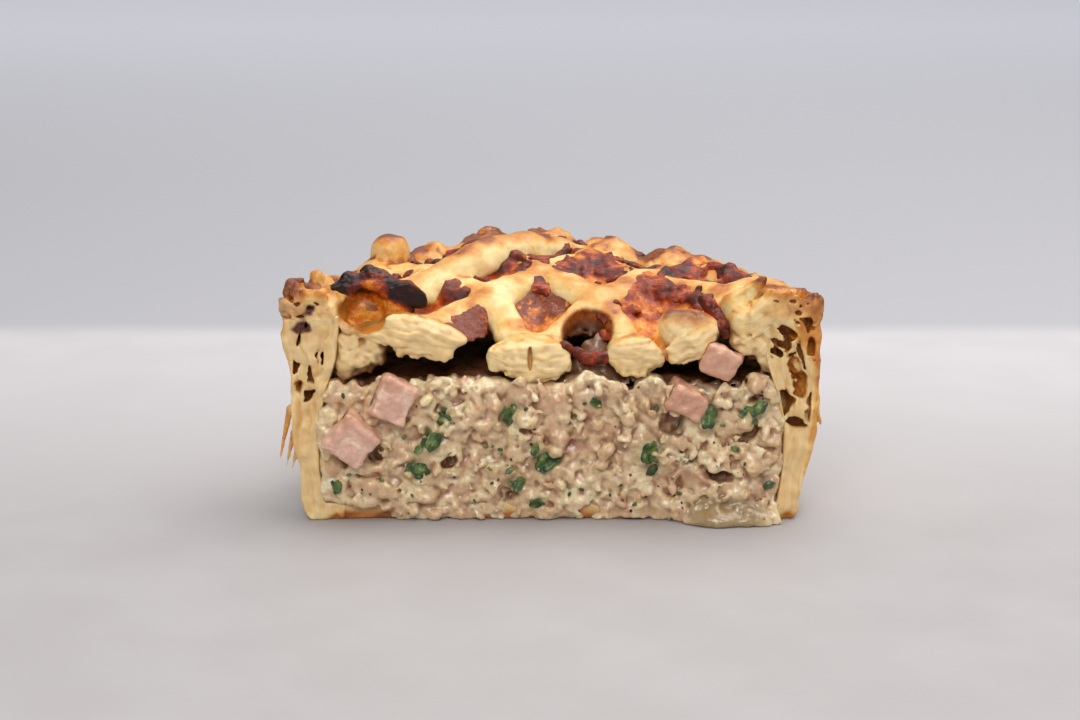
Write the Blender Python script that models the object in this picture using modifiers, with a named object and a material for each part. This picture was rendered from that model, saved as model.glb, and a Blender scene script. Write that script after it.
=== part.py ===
"""Half of a small round sausage pie, cut through the middle and standing on its base.

Metres, +Z up. The half pie's parts hang from one empty that stands at the middle of the whole
pie's base. Seen from there, the cut runs along X at y = 0 and the crust curves away behind it.
The empty is set back so that the middle of the half pie's footprint is the world's origin.
"""

import math
import random

import bmesh
import bpy
from mathutils import Euler, Matrix, Vector, noise

MM = 0.001
GAP = 0.3 * MM  # left between pieces that touch
NEST_GAP = 0.35 * MM  # left round a dice of ham in its nest
GROWN = 0.38 * MM  # how far the lid's copy is grown to cut the cheese: more than the gap, at edges
SLIVER = 0.03 * MM  # edges shorter than this are closed up after a cut
WELD = 0.01 * MM  # points closer than this are one point

# The case: a tapered crust, thin low down and puffed inwards near the top.
BASE_RADIUS = 50.5 * MM
RIM_RADIUS = 54.6 * MM
CASE_HEIGHT = 40.0 * MM
BASE_THICKNESS = 3.5 * MM
CASE_INSIDE = [(45.8, 3.5), (46.8, 10.0), (47.0, 19.0), (45.2, 27.0), (43.2, 33.0), (42.4, 40.0)]

# The lid: a diamond lattice of puffed strips with a crimped rim, fallen in along the cut.
LID_HEIGHT = 43.0 * MM
STRIP_RADIUS = 4.1 * MM
STRIP_FLATNESS = 0.8
CUT_SWELL = 0.18  # the strips are this much thicker where they are cut
HALF_PITCH = 11.5 * MM
ROW_SPACING = 13.0 * MM
FIRST_COLUMN = -60.0 * MM
COLUMNS = 12
ROWS = 6
RIM_MIDDLE = 49.0 * MM
RIM_HALF_WIDTH = 5.6 * MM
RIM_HALF_HEIGHT = 2.8 * MM
CRIMPS = 22
SAG = 11.6 * MM
SAG_HALF_WIDTH = 43.0 * MM
SAG_DEPTH = 12.5 * MM
BACK_RISE = 4.2 * MM

# Crossings of the lattice that the baking dough has dragged away, as column and row with the
# distance in millimetres along X and Y.
DRAGGED = {
    (3, 1): (-1.5, 4.0),
    (5, 1): (-1.7, 2.0),
    (7, 1): (1.5, -9.0),
    (2, 2): (-3.0, -6.0),
    (4, 2): (1.5, 2.0),
    (6, 2): (1.2, 2.0),
    (8, 2): (5.5, 1.5),
}

# The filling: sausage meat in cream, up to a level that leaves a hollow under the lid.
FILLING_TOP = 30.4 * MM
BULGE = 1.6 * MM

# Holes torn in the cut face: place along X and Z in millimetres.
TORN = [(-36.0, 14.4), (-41.6, 13.6), (24.6, 20.6), (34.0, 9.6), (-8.0, 5.0), (8.0, 2.0)]

# Flecks of parsley in the cut face: place along X and Z, length and turn, in millimetres and
# degrees.
PARSLEY = [
    (-0.6, 12.7, 6.4, 20),
    (-21.6, 21.4, 4.4, -20),
    (-23.6, 17.0, 5.0, 50),
    (-27.0, 10.8, 5.8, -10),
    (-8.2, 22.4, 4.2, 80),
    (-6.6, 7.6, 4.0, 60),
    (-3.0, 3.9, 3.6, 0),
    (9.0, 24.8, 3.2, -60),
    (19.7, 14.8, 5.6, 75),
    (20.4, 10.6, 3.2, 40),
    (31.4, 22.2, 5.8, 80),
    (41.6, 23.6, 4.6, 30),
    (44.0, 7.6, 3.0, 10),
    (-43.0, 7.4, 3.4, 80),
]

# The dice of ham: name, centre, size and turn, in millimetres and degrees. The last lies under the
# lid, on top of the filling.
HAM_DICE = [
    ("ham_1", (-39.8, -1.0, 17.6), (8.6, 9.0, 8.4), (6, 41, 4)),
    ("ham_2", (-31.8, -0.6, 25.2), (7.8, 8.6, 8.8), (-6, 24, 8)),
    ("ham_3", (27.2, -0.6, 25.4), (8.2, 8.0, 5.4), (6, 26, 6)),
    ("ham_4", (34.0, 1.6, 32.6), (7.4, 7.0, 6.2), (0, 24, -4)),
]

# Browned cheese in the lattice: the column and row of each diamond that it fills, and how high it
# stands there in millimetres.
BROWNED_PLACES = [
    ((2, 3), 1.0),
    ((4, 1), -0.6),
    ((3, 2), 0.7),
    ((5, 2), 0.2),
    ((7, 2), 0.7),
    ((4, 3), 0.8),
    ((6, 3), 1.2),
    ((8, 3), 0.9),
    ((5, 4), 1.0),
    ((3, 4), 0.6),
    ((7, 4), 0.6),
]
BROWNED_SLOPE = 2.2 * MM  # how far the cheese rises from the front of its diamond to the back

HALF_PIE_PLACE = (0.15 * MM, -24.1 * MM, 0.0)  # centres the half pie's footprint on the origin

CRUST = ("golden_crust", (0.58, 0.33, 0.13), 0.5)
LATTICE = ("lattice_pastry", (0.68, 0.43, 0.18), 0.35)
MEAT = ("sausage_filling", (0.43, 0.3, 0.17), 0.4)
HAM = ("ham", (0.56, 0.33, 0.25), 0.35)
BROWNED = ("browned_cheese", (0.18, 0.05, 0.02), 0.25)


# ---------------------------------------------------------------- scene and object helpers


def clear_scene():
    for obj in list(bpy.data.objects):
        bpy.data.objects.remove(obj)


def collection(name):
    made = bpy.data.collections.new(name)
    bpy.context.scene.collection.children.link(made)
    return made


def material(name, colour, roughness):
    made = bpy.data.materials.get(name) or bpy.data.materials.new(name)
    made.use_nodes = True
    shader = made.node_tree.nodes["Principled BSDF"]
    shader.inputs["Base Color"].default_value = (*colour, 1.0)
    shader.inputs["Roughness"].default_value = roughness
    shader.inputs["Metallic"].default_value = 0.0
    return made


def object_from(name, mesh_builder, into):
    """A mesh object from a bmesh, with its faces pointing out. The bmesh is freed."""
    bmesh.ops.recalc_face_normals(mesh_builder, faces=mesh_builder.faces)
    mesh = bpy.data.meshes.new(name)
    mesh_builder.to_mesh(mesh)
    mesh_builder.free()
    obj = bpy.data.objects.new(name, mesh)
    into.objects.link(obj)
    return obj


def apply_modifiers(obj):
    graph = bpy.context.evaluated_depsgraph_get()
    made = bpy.data.meshes.new_from_object(obj.evaluated_get(graph))
    obj.modifiers.clear()
    obj.data = made


def combine(obj, others, operation):
    """Joins, cuts or trims obj with every object of a collection, and removes those objects."""
    modifier = obj.modifiers.new(operation.lower(), "BOOLEAN")
    modifier.operation = operation
    modifier.solver = "MANIFOLD"
    modifier.operand_type = "COLLECTION"
    modifier.collection = others
    apply_modifiers(obj)
    for other in list(others.objects):
        bpy.data.objects.remove(other)
    bpy.data.collections.remove(others)
    drop_scraps(obj)


def drop_scraps(obj):
    """Keeps the largest body of an object and drops the crumbs that a cut has left loose."""
    build = bmesh.new()
    build.from_mesh(obj.data)
    bmesh.ops.triangulate(build, faces=build.faces)
    bmesh.ops.dissolve_degenerate(build, edges=build.edges, dist=SLIVER)
    waiting = set(build.verts)
    bodies = []
    while waiting:
        body, edge_of_body = set(), [waiting.pop()]
        while edge_of_body:
            vertex = edge_of_body.pop()
            body.add(vertex)
            for edge in vertex.link_edges:
                other = edge.other_vert(vertex)
                if other in waiting:
                    waiting.remove(other)
                    edge_of_body.append(other)
        bodies.append(body)
    bodies.sort(key=len)
    for body in bodies[:-1]:
        bmesh.ops.delete(build, geom=list(body), context="VERTS")
    build.to_mesh(obj.data)
    build.free()


def turned(name, profile, steps, into):
    """A half turn of a closed profile, given as (radius, height) points, with its two ends filled."""
    build = bmesh.new()
    points = [build.verts.new((r, 0.0, z)) for r, z in profile]
    for one, other in zip(points, points[1:] + points[:1]):
        build.edges.new((one, other))
    mesh = bpy.data.meshes.new(name)
    build.to_mesh(mesh)
    build.free()
    obj = bpy.data.objects.new(name, mesh)
    into.objects.link(obj)
    screw = obj.modifiers.new("half turn", "SCREW")
    screw.angle = math.pi
    screw.steps = screw.render_steps = steps
    screw.use_merge_vertices = True
    screw.merge_threshold = WELD
    apply_modifiers(obj)
    build = bmesh.new()
    build.from_mesh(obj.data)
    bmesh.ops.remove_doubles(build, verts=build.verts, dist=WELD)
    bmesh.ops.holes_fill(build, edges=build.edges)
    bmesh.ops.recalc_face_normals(build, faces=build.faces)
    build.to_mesh(obj.data)
    build.free()
    return obj


def ellipsoid(name, centre, radii, into, rotation=(0, 0, 0), rings=7):
    """A stretched sphere; centre and radii in millimetres, rotation in degrees."""
    build = bmesh.new()
    bmesh.ops.create_uvsphere(build, u_segments=rings + 3, v_segments=rings, radius=MM)
    turn = Euler([math.radians(a) for a in rotation]).to_matrix().to_4x4()
    place = Matrix.Translation(Vector(centre) * MM) @ turn @ Matrix.Diagonal((*radii, 1.0))
    bmesh.ops.transform(build, matrix=place, verts=build.verts)
    return object_from(name, build, into)


def rope(name, line, radius, into, sides=8):
    """A tube along a line, with closed ends."""
    curve = bpy.data.curves.new(name, "CURVE")
    curve.dimensions = "3D"
    curve.bevel_depth = radius
    curve.bevel_resolution = (sides - 4) // 2
    curve.use_fill_caps = True
    spline = curve.splines.new("POLY")
    spline.points.add(len(line) - 1)
    for point, place in zip(spline.points, line):
        point.co = (*place, 1.0)
    wire = bpy.data.objects.new(name, curve)
    bpy.context.scene.collection.objects.link(wire)
    graph = bpy.context.evaluated_depsgraph_get()
    mesh = bpy.data.meshes.new_from_object(wire.evaluated_get(graph))
    bpy.data.objects.remove(wire)
    build = bmesh.new()
    build.from_mesh(mesh)
    bmesh.ops.remove_doubles(build, verts=build.verts, dist=WELD)
    return object_from(name, build, into)


def finer(line, steps):
    """A line with points added between its corners, which are rounded a little."""
    points = []
    for one, other in zip(line, line[1:]):
        for step in range(steps):
            points.append(one.lerp(other, step / steps))
    points.append(line[-1])
    rounded = [points[0]]
    for before, point, after in zip(points, points[1:], points[2:]):
        rounded.append((before + 2 * point + after) / 4)
    return rounded + [points[-1]]


def finish(obj, look, into):
    """Gives a finished piece its material, its smooth shading and its place under the empty."""
    obj.data.materials.clear()
    obj.data.materials.append(material(*look))
    obj.data.shade_smooth()
    obj.data.set_sharp_from_angle(angle=math.radians(40))
    obj.parent = into
    return obj


# ---------------------------------------------------------------- shared shapes


def inside_radius(height):
    """The radius of the case's inner face at a height, by straight lines between its points."""
    steps = [(r * MM, z * MM) for r, z in CASE_INSIDE]
    if height <= steps[0][1]:
        return steps[0][0]
    for (r0, z0), (r1, z1) in zip(steps, steps[1:]):
        if height <= z1:
            return r0 + (r1 - r0) * (height - z0) / (z1 - z0)
    return steps[-1][0]


def hill(x, y, middle_x, middle_y, spread_x, spread_y):
    """One at a place, and falling off evenly round it."""
    return math.exp(-(((x - middle_x) / spread_x) ** 2) - ((y - middle_y) / spread_y) ** 2)


def drape(x, y):
    """The height of the middle of the lid's sheet: raised at the back and fallen in at the cut."""
    depth = max(y, 0.0)
    rise = BACK_RISE * hill(x, depth, -8 * MM, 47 * MM, 24 * MM, 24 * MM)
    across = max(0.0, 1.0 - (x / SAG_HALF_WIDTH) ** 2) ** 0.8
    sag = SAG * across * math.exp(-((depth / SAG_DEPTH) ** 2))
    return LID_HEIGHT + rise - sag


def filling_level(x, y):
    """The height of the filling: uneven, and never into the lid that has fallen onto it."""
    lumps = 1.3 * MM * noise.noise(Vector((x, y, 0.0)) / (5 * MM))
    under_lid = drape(x, y) - STRIP_RADIUS * STRIP_FLATNESS * (1 + CUT_SWELL) - 0.9 * MM
    return min(FILLING_TOP + lumps, under_lid)


def crag(x, z):
    """How far the cut meat stands out at a place of the cut face: clumps of two sizes."""
    large = noise.voronoi(Vector((x, 0.3 * MM, z)) / (8 * MM))[0][0]
    small = noise.voronoi(Vector((x, 5 * MM, z)) / (3.6 * MM))[0][0]
    torn = sum(hill(x, z, hole_x * MM, hole_z * MM, 2 * MM, 2.6 * MM) for hole_x, hole_z in TORN)
    return (3.4 * (0.5 - large) + 1.5 * (0.45 - small) - 2.0 * torn) * MM


def wall_bulge(place):
    """How far the crust stands out beyond its plain cone: fuller low down on the right."""
    right = 1.5 * MM * hill(place.x, place.z, 52 * MM, 17 * MM, 14 * MM, 11 * MM)
    left = -0.9 * MM * hill(place.x, place.z, -53 * MM, 31 * MM, 10 * MM, 5 * MM)
    blister = noise.noise(place / (9 * MM)) + 0.5 * noise.noise(place / (4 * MM))
    return right + left + 0.7 * MM * blister


# ---------------------------------------------------------------- the case


def wall_line(share, x_side):
    """Points down the cut wall, at a share of its thickness from the inside, on one side."""
    points = []
    for z in range(5, 39, 3):
        height = z * MM
        outer = BASE_RADIUS + (RIM_RADIUS - BASE_RADIUS) * height / CASE_HEIGHT
        inner = inside_radius(height)
        wave = 0.35 * MM * math.sin(height / (3.1 * MM) + 7 * share)
        points.append(Vector((x_side * (inner + share * (outer - inner) + wave), 0.0, height)))
    return points


def flake(name, root, tip, width, thickness, into):
    """A pointed shard of pastry, widest at its root."""
    build = bmesh.new()
    bmesh.ops.create_cone(
        build, segments=5, radius1=1.0, radius2=0.12, depth=1.0, cap_ends=True, cap_tris=False
    )
    along = (Vector(tip) - Vector(root)) * MM
    size = Matrix.Diagonal((width * MM, thickness * MM, along.length, 1.0))
    turn = along.to_track_quat("Z", "Y").to_matrix().to_4x4()
    middle = (Vector(tip) + Vector(root)) * MM / 2
    bmesh.ops.transform(build, matrix=Matrix.Translation(middle) @ turn @ size, verts=build.verts)
    return object_from(name, build, into)


def pastry_case(into):
    """The base and wall in one crust, with the layers, air pockets and shards of its cut edges."""
    outside = [
        (0.0, 0.0),
        (BASE_RADIUS - 1.5 * MM, 0.0),
        (BASE_RADIUS + 0.3 * MM, 2.0 * MM),
        (BASE_RADIUS + 1.4 * MM, 12.0 * MM),
        (BASE_RADIUS + 2.6 * MM, 22.0 * MM),
        (BASE_RADIUS + 3.6 * MM, 32.0 * MM),
        (RIM_RADIUS, CASE_HEIGHT - 1.5 * MM),
        (RIM_RADIUS - 1.4 * MM, CASE_HEIGHT),
    ]
    inside = [(r * MM, z * MM) for r, z in reversed(CASE_INSIDE)] + [(0.0, BASE_THICKNESS)]
    case = turned("pastry_case", outside + inside, 34, into)
    for vertex in case.data.vertices:
        place = vertex.co
        out = Vector((place.x, place.y, 0.0))
        if out.length > 48.5 * MM and 1 * MM < place.z < CASE_HEIGHT - 1 * MM:
            place += out.normalized() * wall_bulge(place.copy())
    cutters = collection("case cutters")
    for number, share in enumerate((0.3, 0.55, 0.8)):
        rope(f"left layer {number}", wall_line(share, -1), (0.4 + 0.1 * number) * MM, cutters, 4)
    rope("right layer", wall_line(0.25, 1), 0.45 * MM, cutters, 4)
    rope("right edge layer", wall_line(0.86, 1), 0.4 * MM, cutters, 4)
    pockets = [
        ((50.5, 0.0, 31.5), (1.5, 4.5, 4.2), (0, 14, 0)),
        ((52.6, 0.0, 24.5), (1.0, 4.0, 3.4), (0, -10, 0)),
        ((49.6, 0.0, 23.2), (1.1, 3.0, 2.6), (0, -20, 0)),
        ((47.0, 0.0, 35.2), (1.7, 3.5, 1.3), (0, 30, 0)),
        ((52.3, 0.0, 36.4), (0.7, 3.0, 1.9), (0, 8, 0)),
        ((-50.6, 0.0, 32.0), (1.0, 3.5, 3.6), (0, -8, 0)),
        ((-47.6, 0.0, 35.8), (0.8, 3.0, 1.7), (0, 35, 0)),
        ((-48.6, 0.0, 14.0), (0.6, 2.5, 2.4), (0, -5, 0)),
    ]
    for number, (centre, radii, rotation) in enumerate(pockets):
        ellipsoid(f"air pocket {number}", centre, radii, cutters, rotation)
    combine(case, cutters, "DIFFERENCE")
    shards = collection("case shards")
    flake("long shard", (-52.6, 1.5, 23.0), (-55.6, 1.2, 10.5), 1.3, 0.9, shards)
    flake("middle shard", (-52.0, 1.6, 18.0), (-54.0, 1.6, 10.0), 1.0, 0.8, shards)
    flake("short shard", (-51.4, 1.8, 14.5), (-53.0, 2.0, 9.0), 0.8, 0.7, shards)
    flake("right shard", (53.6, 2.0, 23.0), (55.3, 1.6, 17.5), 0.9, 0.8, shards)
    combine(case, shards, "UNION")
    return case


# ---------------------------------------------------------------- the lid


def crossing(column, row):
    """Where two strips cross, in plan."""
    x, y = FIRST_COLUMN + column * HALF_PITCH, (row - 1) * ROW_SPACING
    dragged_x, dragged_y = DRAGGED.get((column, row), (0.0, 0.0))
    return Vector((x + dragged_x * MM, y + dragged_y * MM, 0.0))


def strip_lines():
    """The middle line of each strip of the lattice, in plan, as a run of crossings."""
    lines = []
    for lean in (1, -1):
        for start in range(-ROWS, COLUMNS + ROWS):
            places = [(start + lean * row, row) for row in range(ROWS)]
            line = [crossing(*place) for place in places if sum(place) % 2 == 0]
            if min((point.length for point in line), default=1.0) < RIM_MIDDLE:
                lines.append(line)
    return lines


def strip(name, line, into):
    """One puffed strip of the lattice: a tube laid over the drape of the lid and flattened."""
    line = [point for point in finer(line, 3) if point.length < RIM_MIDDLE + 3 * MM]
    made = rope(name, line, STRIP_RADIUS, into)
    for vertex in made.data.vertices:
        place = vertex.co
        swell = 1 + CUT_SWELL * math.exp(-((place.y / (7 * MM)) ** 2))
        uneven = 1 + 0.12 * noise.noise(Vector((place.x, place.y, 0.0)) / (7 * MM))
        place.z = drape(place.x, place.y) + place.z * STRIP_FLATNESS * swell * uneven
    return made


def crimped_rim(into):
    """The lid's edge on top of the wall: a half ring pressed into crimps of uneven size."""
    sides = 8
    profile = []
    for side in range(sides):
        angle = 2 * math.pi * (side + 0.5) / sides
        across, up = RIM_HALF_WIDTH * math.cos(angle), RIM_HALF_HEIGHT * math.sin(angle)
        profile.append((RIM_MIDDLE + across, LID_HEIGHT + up))
    rim = turned("lattice_lid", profile, CRIMPS * 2, into)
    for vertex in rim.data.vertices:
        place = vertex.co
        at_the_cut = abs(place.y) < WELD
        outward = Vector((place.x, place.y, 0.0)).normalized()
        lobe = abs(math.sin(math.atan2(place.y, place.x) * CRIMPS / 2))
        swell = 0.82 + 0.3 * lobe + 0.25 * noise.noise(outward * 5)
        centre = outward * RIM_MIDDLE + Vector((0.0, 0.0, LID_HEIGHT))
        offset = place - centre
        rise = drape(place.x, place.y) - LID_HEIGHT
        lift = (0.8 * MM * lobe + rise) if offset.z > 0 else 0.0
        vertex.co = centre + offset * swell + Vector((0.0, 0.0, lift))
        vertex.co.z = max(vertex.co.z, CASE_HEIGHT + GAP)
        if at_the_cut:
            vertex.co.y = -2 * MM
    return rim


def ragged_half(into):
    """A block behind the cut whose front is uneven, to trim the lid as a knife tears it."""
    build = bmesh.new()
    bmesh.ops.create_grid(build, x_segments=36, y_segments=9, size=1.0)
    for vertex in build.verts:
        x, z = vertex.co.x * 60 * MM, vertex.co.y * 16 * MM + 42 * MM
        tear = 0.8 * MM * noise.noise(Vector((x / (4 * MM), 0.0, z / (2.2 * MM))))
        vertex.co = (x, tear, z)
    edges = [edge for edge in build.edges if edge.is_boundary]
    made = bmesh.ops.extrude_edge_only(build, edges=edges)["geom"]
    for vertex in [v for v in made if isinstance(v, bmesh.types.BMVert)]:
        vertex.co.y = 65 * MM
    bmesh.ops.holes_fill(build, edges=build.edges)
    return object_from("ragged half", build, into)


def room_for_case(into):
    """The case's wall with the gap round it, which the lid rests on and must not reach into."""
    inner = [(r * MM - GAP, z * MM) for r, z in CASE_INSIDE if z > 20]
    inner[-1] = (inner[-1][0], CASE_HEIGHT + GAP)
    far = RIM_RADIUS + 6 * MM
    room = turned("room for case", inner + [(far, CASE_HEIGHT + GAP), (far, inner[0][1])], 40, into)
    for vertex in room.data.vertices:
        if abs(vertex.co.y) < WELD:
            vertex.co.y = -3 * MM
    return room


def lattice_lid(into):
    """Rim, lattice and the loose ends of dough that stand up round the edge, in one solid."""
    rim = crimped_rim(into)
    added = collection("lid pieces")
    for number, line in enumerate(strip_lines()):
        strip(f"strip {number}", line, added)
    fold = [(-29, 19, 42.8), (-21, 26, 46.6), (-13, 33, 49.2), (-6, 39, 50), (1, 44, 47.5)]
    rope("big fold", [Vector(point) * MM for point in fold], 3.2 * MM, added)
    ellipsoid("flap", (-29.5, 1.0, 37.6), (13.5, 5.0, 4.3), added, (-8, 13, 0))
    ellipsoid("knob", (-34.4, 36.0, 47.4), (4.0, 3.4, 5.0), added, (6, 0, 30))
    ellipsoid("back lobe", (32.6, 38.0, 44.6), (4.8, 3.4, 2.9), added, (0, 12, -40))
    ellipsoid("left crumb", (-52.0, 6.0, 46.2), (2.0, 2.8, 2.8), added, (0, -14, 20))
    ellipsoid("low left crumb", (-53.6, 1.2, 43.0), (2.0, 2.6, 1.9), added)
    ellipsoid("right corner", (46.4, 2.2, 44.4), (3.6, 4.2, 2.8), added, (0, -6, 0))
    ellipsoid("right edge", (51.8, 2.0, 42.9), (3.5, 4.2, 2.0), added, (0, 8, 0))
    flake("left spike", (-50.2, 9.0, 43.5), (-48.6, 10.2, 50.4), 2.6, 1.8, added)
    flake("left spike behind", (-47.4, 13.0, 43.5), (-45.6, 15.0, 49.0), 2.2, 1.8, added)
    flake("right spike", (38.0, 8.0, 42.5), (44.4, 8.8, 48.0), 3.0, 1.8, added)
    combine(rim, added, "UNION")
    half = collection("half")
    ragged_half(half)
    combine(rim, half, "INTERSECT")
    taken = collection("room the lid leaves")
    room_for_case(taken)
    name, centre, size, turn = HAM_DICE[-1]
    block(name + " nest", centre, size, turn, taken, grow=NEST_GAP)
    combine(rim, taken, "DIFFERENCE")
    return rim


# ---------------------------------------------------------------- the filling


def filling_core(into):
    """The filling behind the cut: a half turn inside the case, with an uneven top."""
    edge = [(r * MM - GAP, z * MM) for r, z in CASE_INSIDE if z * MM < FILLING_TOP]
    floor = BASE_THICKNESS + GAP
    edge[0] = (edge[0][0], floor)
    profile = [(0.0, floor)] + edge
    profile += [(inside_radius(FILLING_TOP) - GAP, FILLING_TOP - 0.5 * MM)]
    profile += [(r * MM, FILLING_TOP) for r in (40, 34, 28, 22, 16, 10, 5, 0)]
    core = turned("filling", profile, 26, into)
    for vertex in core.data.vertices:
        place = vertex.co
        if place.z > FILLING_TOP - 0.2 * MM:
            place.z = filling_level(place.x, place.y)
        if abs(place.y) < WELD:
            place.y = -1.0 * MM
            place.x *= 0.985
    return core


def face_reach(side, z):
    """How far the cut face reaches to a side. Low down on the left it stops on the base."""
    low = (38 * MM + 0.9 * z) if side < 0 else (44.5 * MM + 0.5 * z)
    return min(low, inside_radius(z) - 0.8 * MM)


def filling_face(into):
    """The cut face: crumbly meat that bulges past the cut and has slid down over the base's edge."""
    build = bmesh.new()
    bmesh.ops.create_grid(build, x_segments=50, y_segments=17, size=1.0)
    for vertex in build.verts:
        u, v = vertex.co.x, (vertex.co.y + 1) / 2
        z = v * filling_level(u * 44 * MM, 0.0)
        x = u * face_reach(u, z)
        ooze = 3.6 * MM * hill(x, z, 36 * MM, 0.0, 9 * MM, 5 * MM)
        to_edge = max(abs(u), abs(2 * v - 1) if v > 0.5 else 0.0)
        fade = min(1.0, (1.0 - to_edge) * 9 + 0.15)
        out = BULGE + 0.9 * MM + ooze + crag(x, z) * fade
        vertex.co = (x, -max(out, 1.0 * MM), z)
    edges = [edge for edge in build.edges if edge.is_boundary]
    made = bmesh.ops.extrude_edge_only(build, edges=edges)["geom"]
    for vertex in [v for v in made if isinstance(v, bmesh.types.BMVert)]:
        vertex.co.y = -0.4 * MM
    bmesh.ops.holes_fill(build, edges=build.edges)
    return object_from("cut face", build, into)


def leaf(name, x, z, size, turn, into):
    """A fleck of parsley lying in the cut face: a thin plate, bent along its middle."""
    build = bmesh.new()
    bmesh.ops.create_grid(build, x_segments=2, y_segments=1, size=1.0)
    for vertex in build.verts:
        bend = 0.25 * (1 - abs(vertex.co.x))
        narrow = 0.55 - 0.2 * abs(vertex.co.x)
        vertex.co = (vertex.co.x * size / 2, bend * size, vertex.co.y * narrow * size / 2)
    plate = bmesh.ops.extrude_face_region(build, geom=build.faces[:])["geom"]
    lifted = [v for v in plate if isinstance(v, bmesh.types.BMVert)]
    bmesh.ops.translate(build, verts=lifted, vec=(0.0, -0.7 * MM, 0.0))
    stands_out = -(BULGE + 0.6 * MM + crag(x * MM, z * MM) + 0.5 * MM)
    spin = Matrix.Rotation(math.radians(turn), 4, "Y")
    place = Matrix.Translation(Vector((x * MM, stands_out, z * MM))) @ spin
    bmesh.ops.transform(build, matrix=place, verts=build.verts)
    return object_from(name, build, into)


def block(name, centre, size, turn, into, grow=0.0):
    """A dice with its corners off, a little out of square; grow adds to every side."""
    rng = random.Random(repr(centre))
    build = bmesh.new()
    bmesh.ops.create_cube(build, size=1.0)
    for vertex in build.verts:
        vertex.co *= 1.0 + rng.uniform(-0.09, 0.07)
    wide = [s * MM + 2 * grow for s in size]
    bmesh.ops.transform(build, matrix=Matrix.Diagonal((*wide, 1.0)), verts=build.verts)
    bmesh.ops.bevel(
        build, geom=build.edges[:], offset=0.7 * MM, segments=1, profile=0.5, affect="EDGES"
    )
    rotation = Euler([math.radians(a) for a in turn]).to_matrix().to_4x4()
    place = Matrix.Translation(Vector(centre) * MM) @ rotation
    bmesh.ops.transform(build, matrix=place, verts=build.verts)
    return object_from(name, build, into)


def filling(into):
    """Core and cut face joined, with flecks of parsley on it and a nest for each dice of ham."""
    core = filling_core(into)
    parts = collection("filling pieces")
    filling_face(parts)
    for number, (x, z, length, turn) in enumerate(PARSLEY):
        leaf(f"parsley {number}", x, z, length * MM, turn, parts)
    combine(core, parts, "UNION")
    nests = collection("ham nests")
    for name, centre, size, turn in HAM_DICE:
        block(name + " nest", centre, size, turn, nests, grow=NEST_GAP)
    combine(core, nests, "DIFFERENCE")
    return core


# ---------------------------------------------------------------- cheese in the lattice


def browned_plug(name, place, height, into, lid_shape):
    """Cheese that has bubbled up in one diamond: a lumpy plug that fits round the strips."""
    column, row = place
    build = bmesh.new()
    bmesh.ops.create_grid(build, x_segments=3, y_segments=3, size=1.0)
    left, right = crossing(column - 1, row), crossing(column + 1, row)
    near, far = crossing(column, row - 1), crossing(column, row + 1)
    middle = (left + right + near + far) / 4
    for vertex in build.verts:
        u, v = (vertex.co.x + 1) / 2, (vertex.co.y + 1) / 2
        spot = near * (1 - u) * (1 - v) + right * u * (1 - v) + left * (1 - u) * v + far * u * v
        spot = middle + (spot - middle) * 0.8
        lump = 0.9 * MM * noise.noise(spot / (3.1 * MM)) + height * MM
        lump += BROWNED_SLOPE * (u + v - 1) if row > 1 else 0.0
        edge = max(abs(vertex.co.x), abs(vertex.co.y))
        top = max(lump - 1.0 * MM * edge, -0.9 * MM)
        vertex.co = (spot.x, spot.y, drape(spot.x, spot.y) + top)
    made = bmesh.ops.extrude_face_region(build, geom=build.faces[:])["geom"]
    for vertex in [v for v in made if isinstance(v, bmesh.types.BMVert)]:
        vertex.co.z = drape(vertex.co.x, vertex.co.y) - 2.3 * MM
    plug = object_from(name, build, into)
    fit = plug.modifiers.new("fit", "BOOLEAN")
    fit.operation = "DIFFERENCE"
    fit.solver = "MANIFOLD"
    fit.object = lid_shape
    apply_modifiers(plug)
    if row == 1 or column == 7:
        behind = collection("behind the cut")
        ragged_half(behind).location.y = 1.5 * MM
        combine(plug, behind, "INTERSECT")
    drop_scraps(plug)
    return plug


def grown_lid(lid):
    """A copy of the lid, larger by the gap all round, that the cheese is cut to."""
    grown = bpy.data.objects.new("grown lid", lid.data.copy())
    bpy.context.scene.collection.objects.link(grown)
    for vertex, normal in zip(grown.data.vertices, [v.normal.copy() for v in lid.data.vertices]):
        vertex.co += normal * GROWN
    return grown


def main():
    clear_scene()
    pie = collection("sausage_pie_half")
    holder = bpy.data.objects.new("half_pie", None)
    pie.objects.link(holder)
    holder.location = HALF_PIE_PLACE
    finish(pastry_case(pie), CRUST, holder)
    lid = finish(lattice_lid(pie), LATTICE, holder)
    finish(filling(pie), MEAT, holder)
    for name, centre, size, turn in HAM_DICE:
        finish(block(name, centre, size, turn, pie), HAM, holder)
    shape = grown_lid(lid)
    for number, (place, height) in enumerate(BROWNED_PLACES, 1):
        plug = browned_plug(f"browned_cheese_{number}", place, height, pie, shape)
        finish(plug, BROWNED, holder)
    bpy.data.objects.remove(shape)


main()
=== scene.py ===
import math
from functools import cache
from itertools import product

import bpy
import numpy as np
from mathutils import Euler, Matrix, Vector
from mathutils.bvhtree import BVHTree


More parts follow.
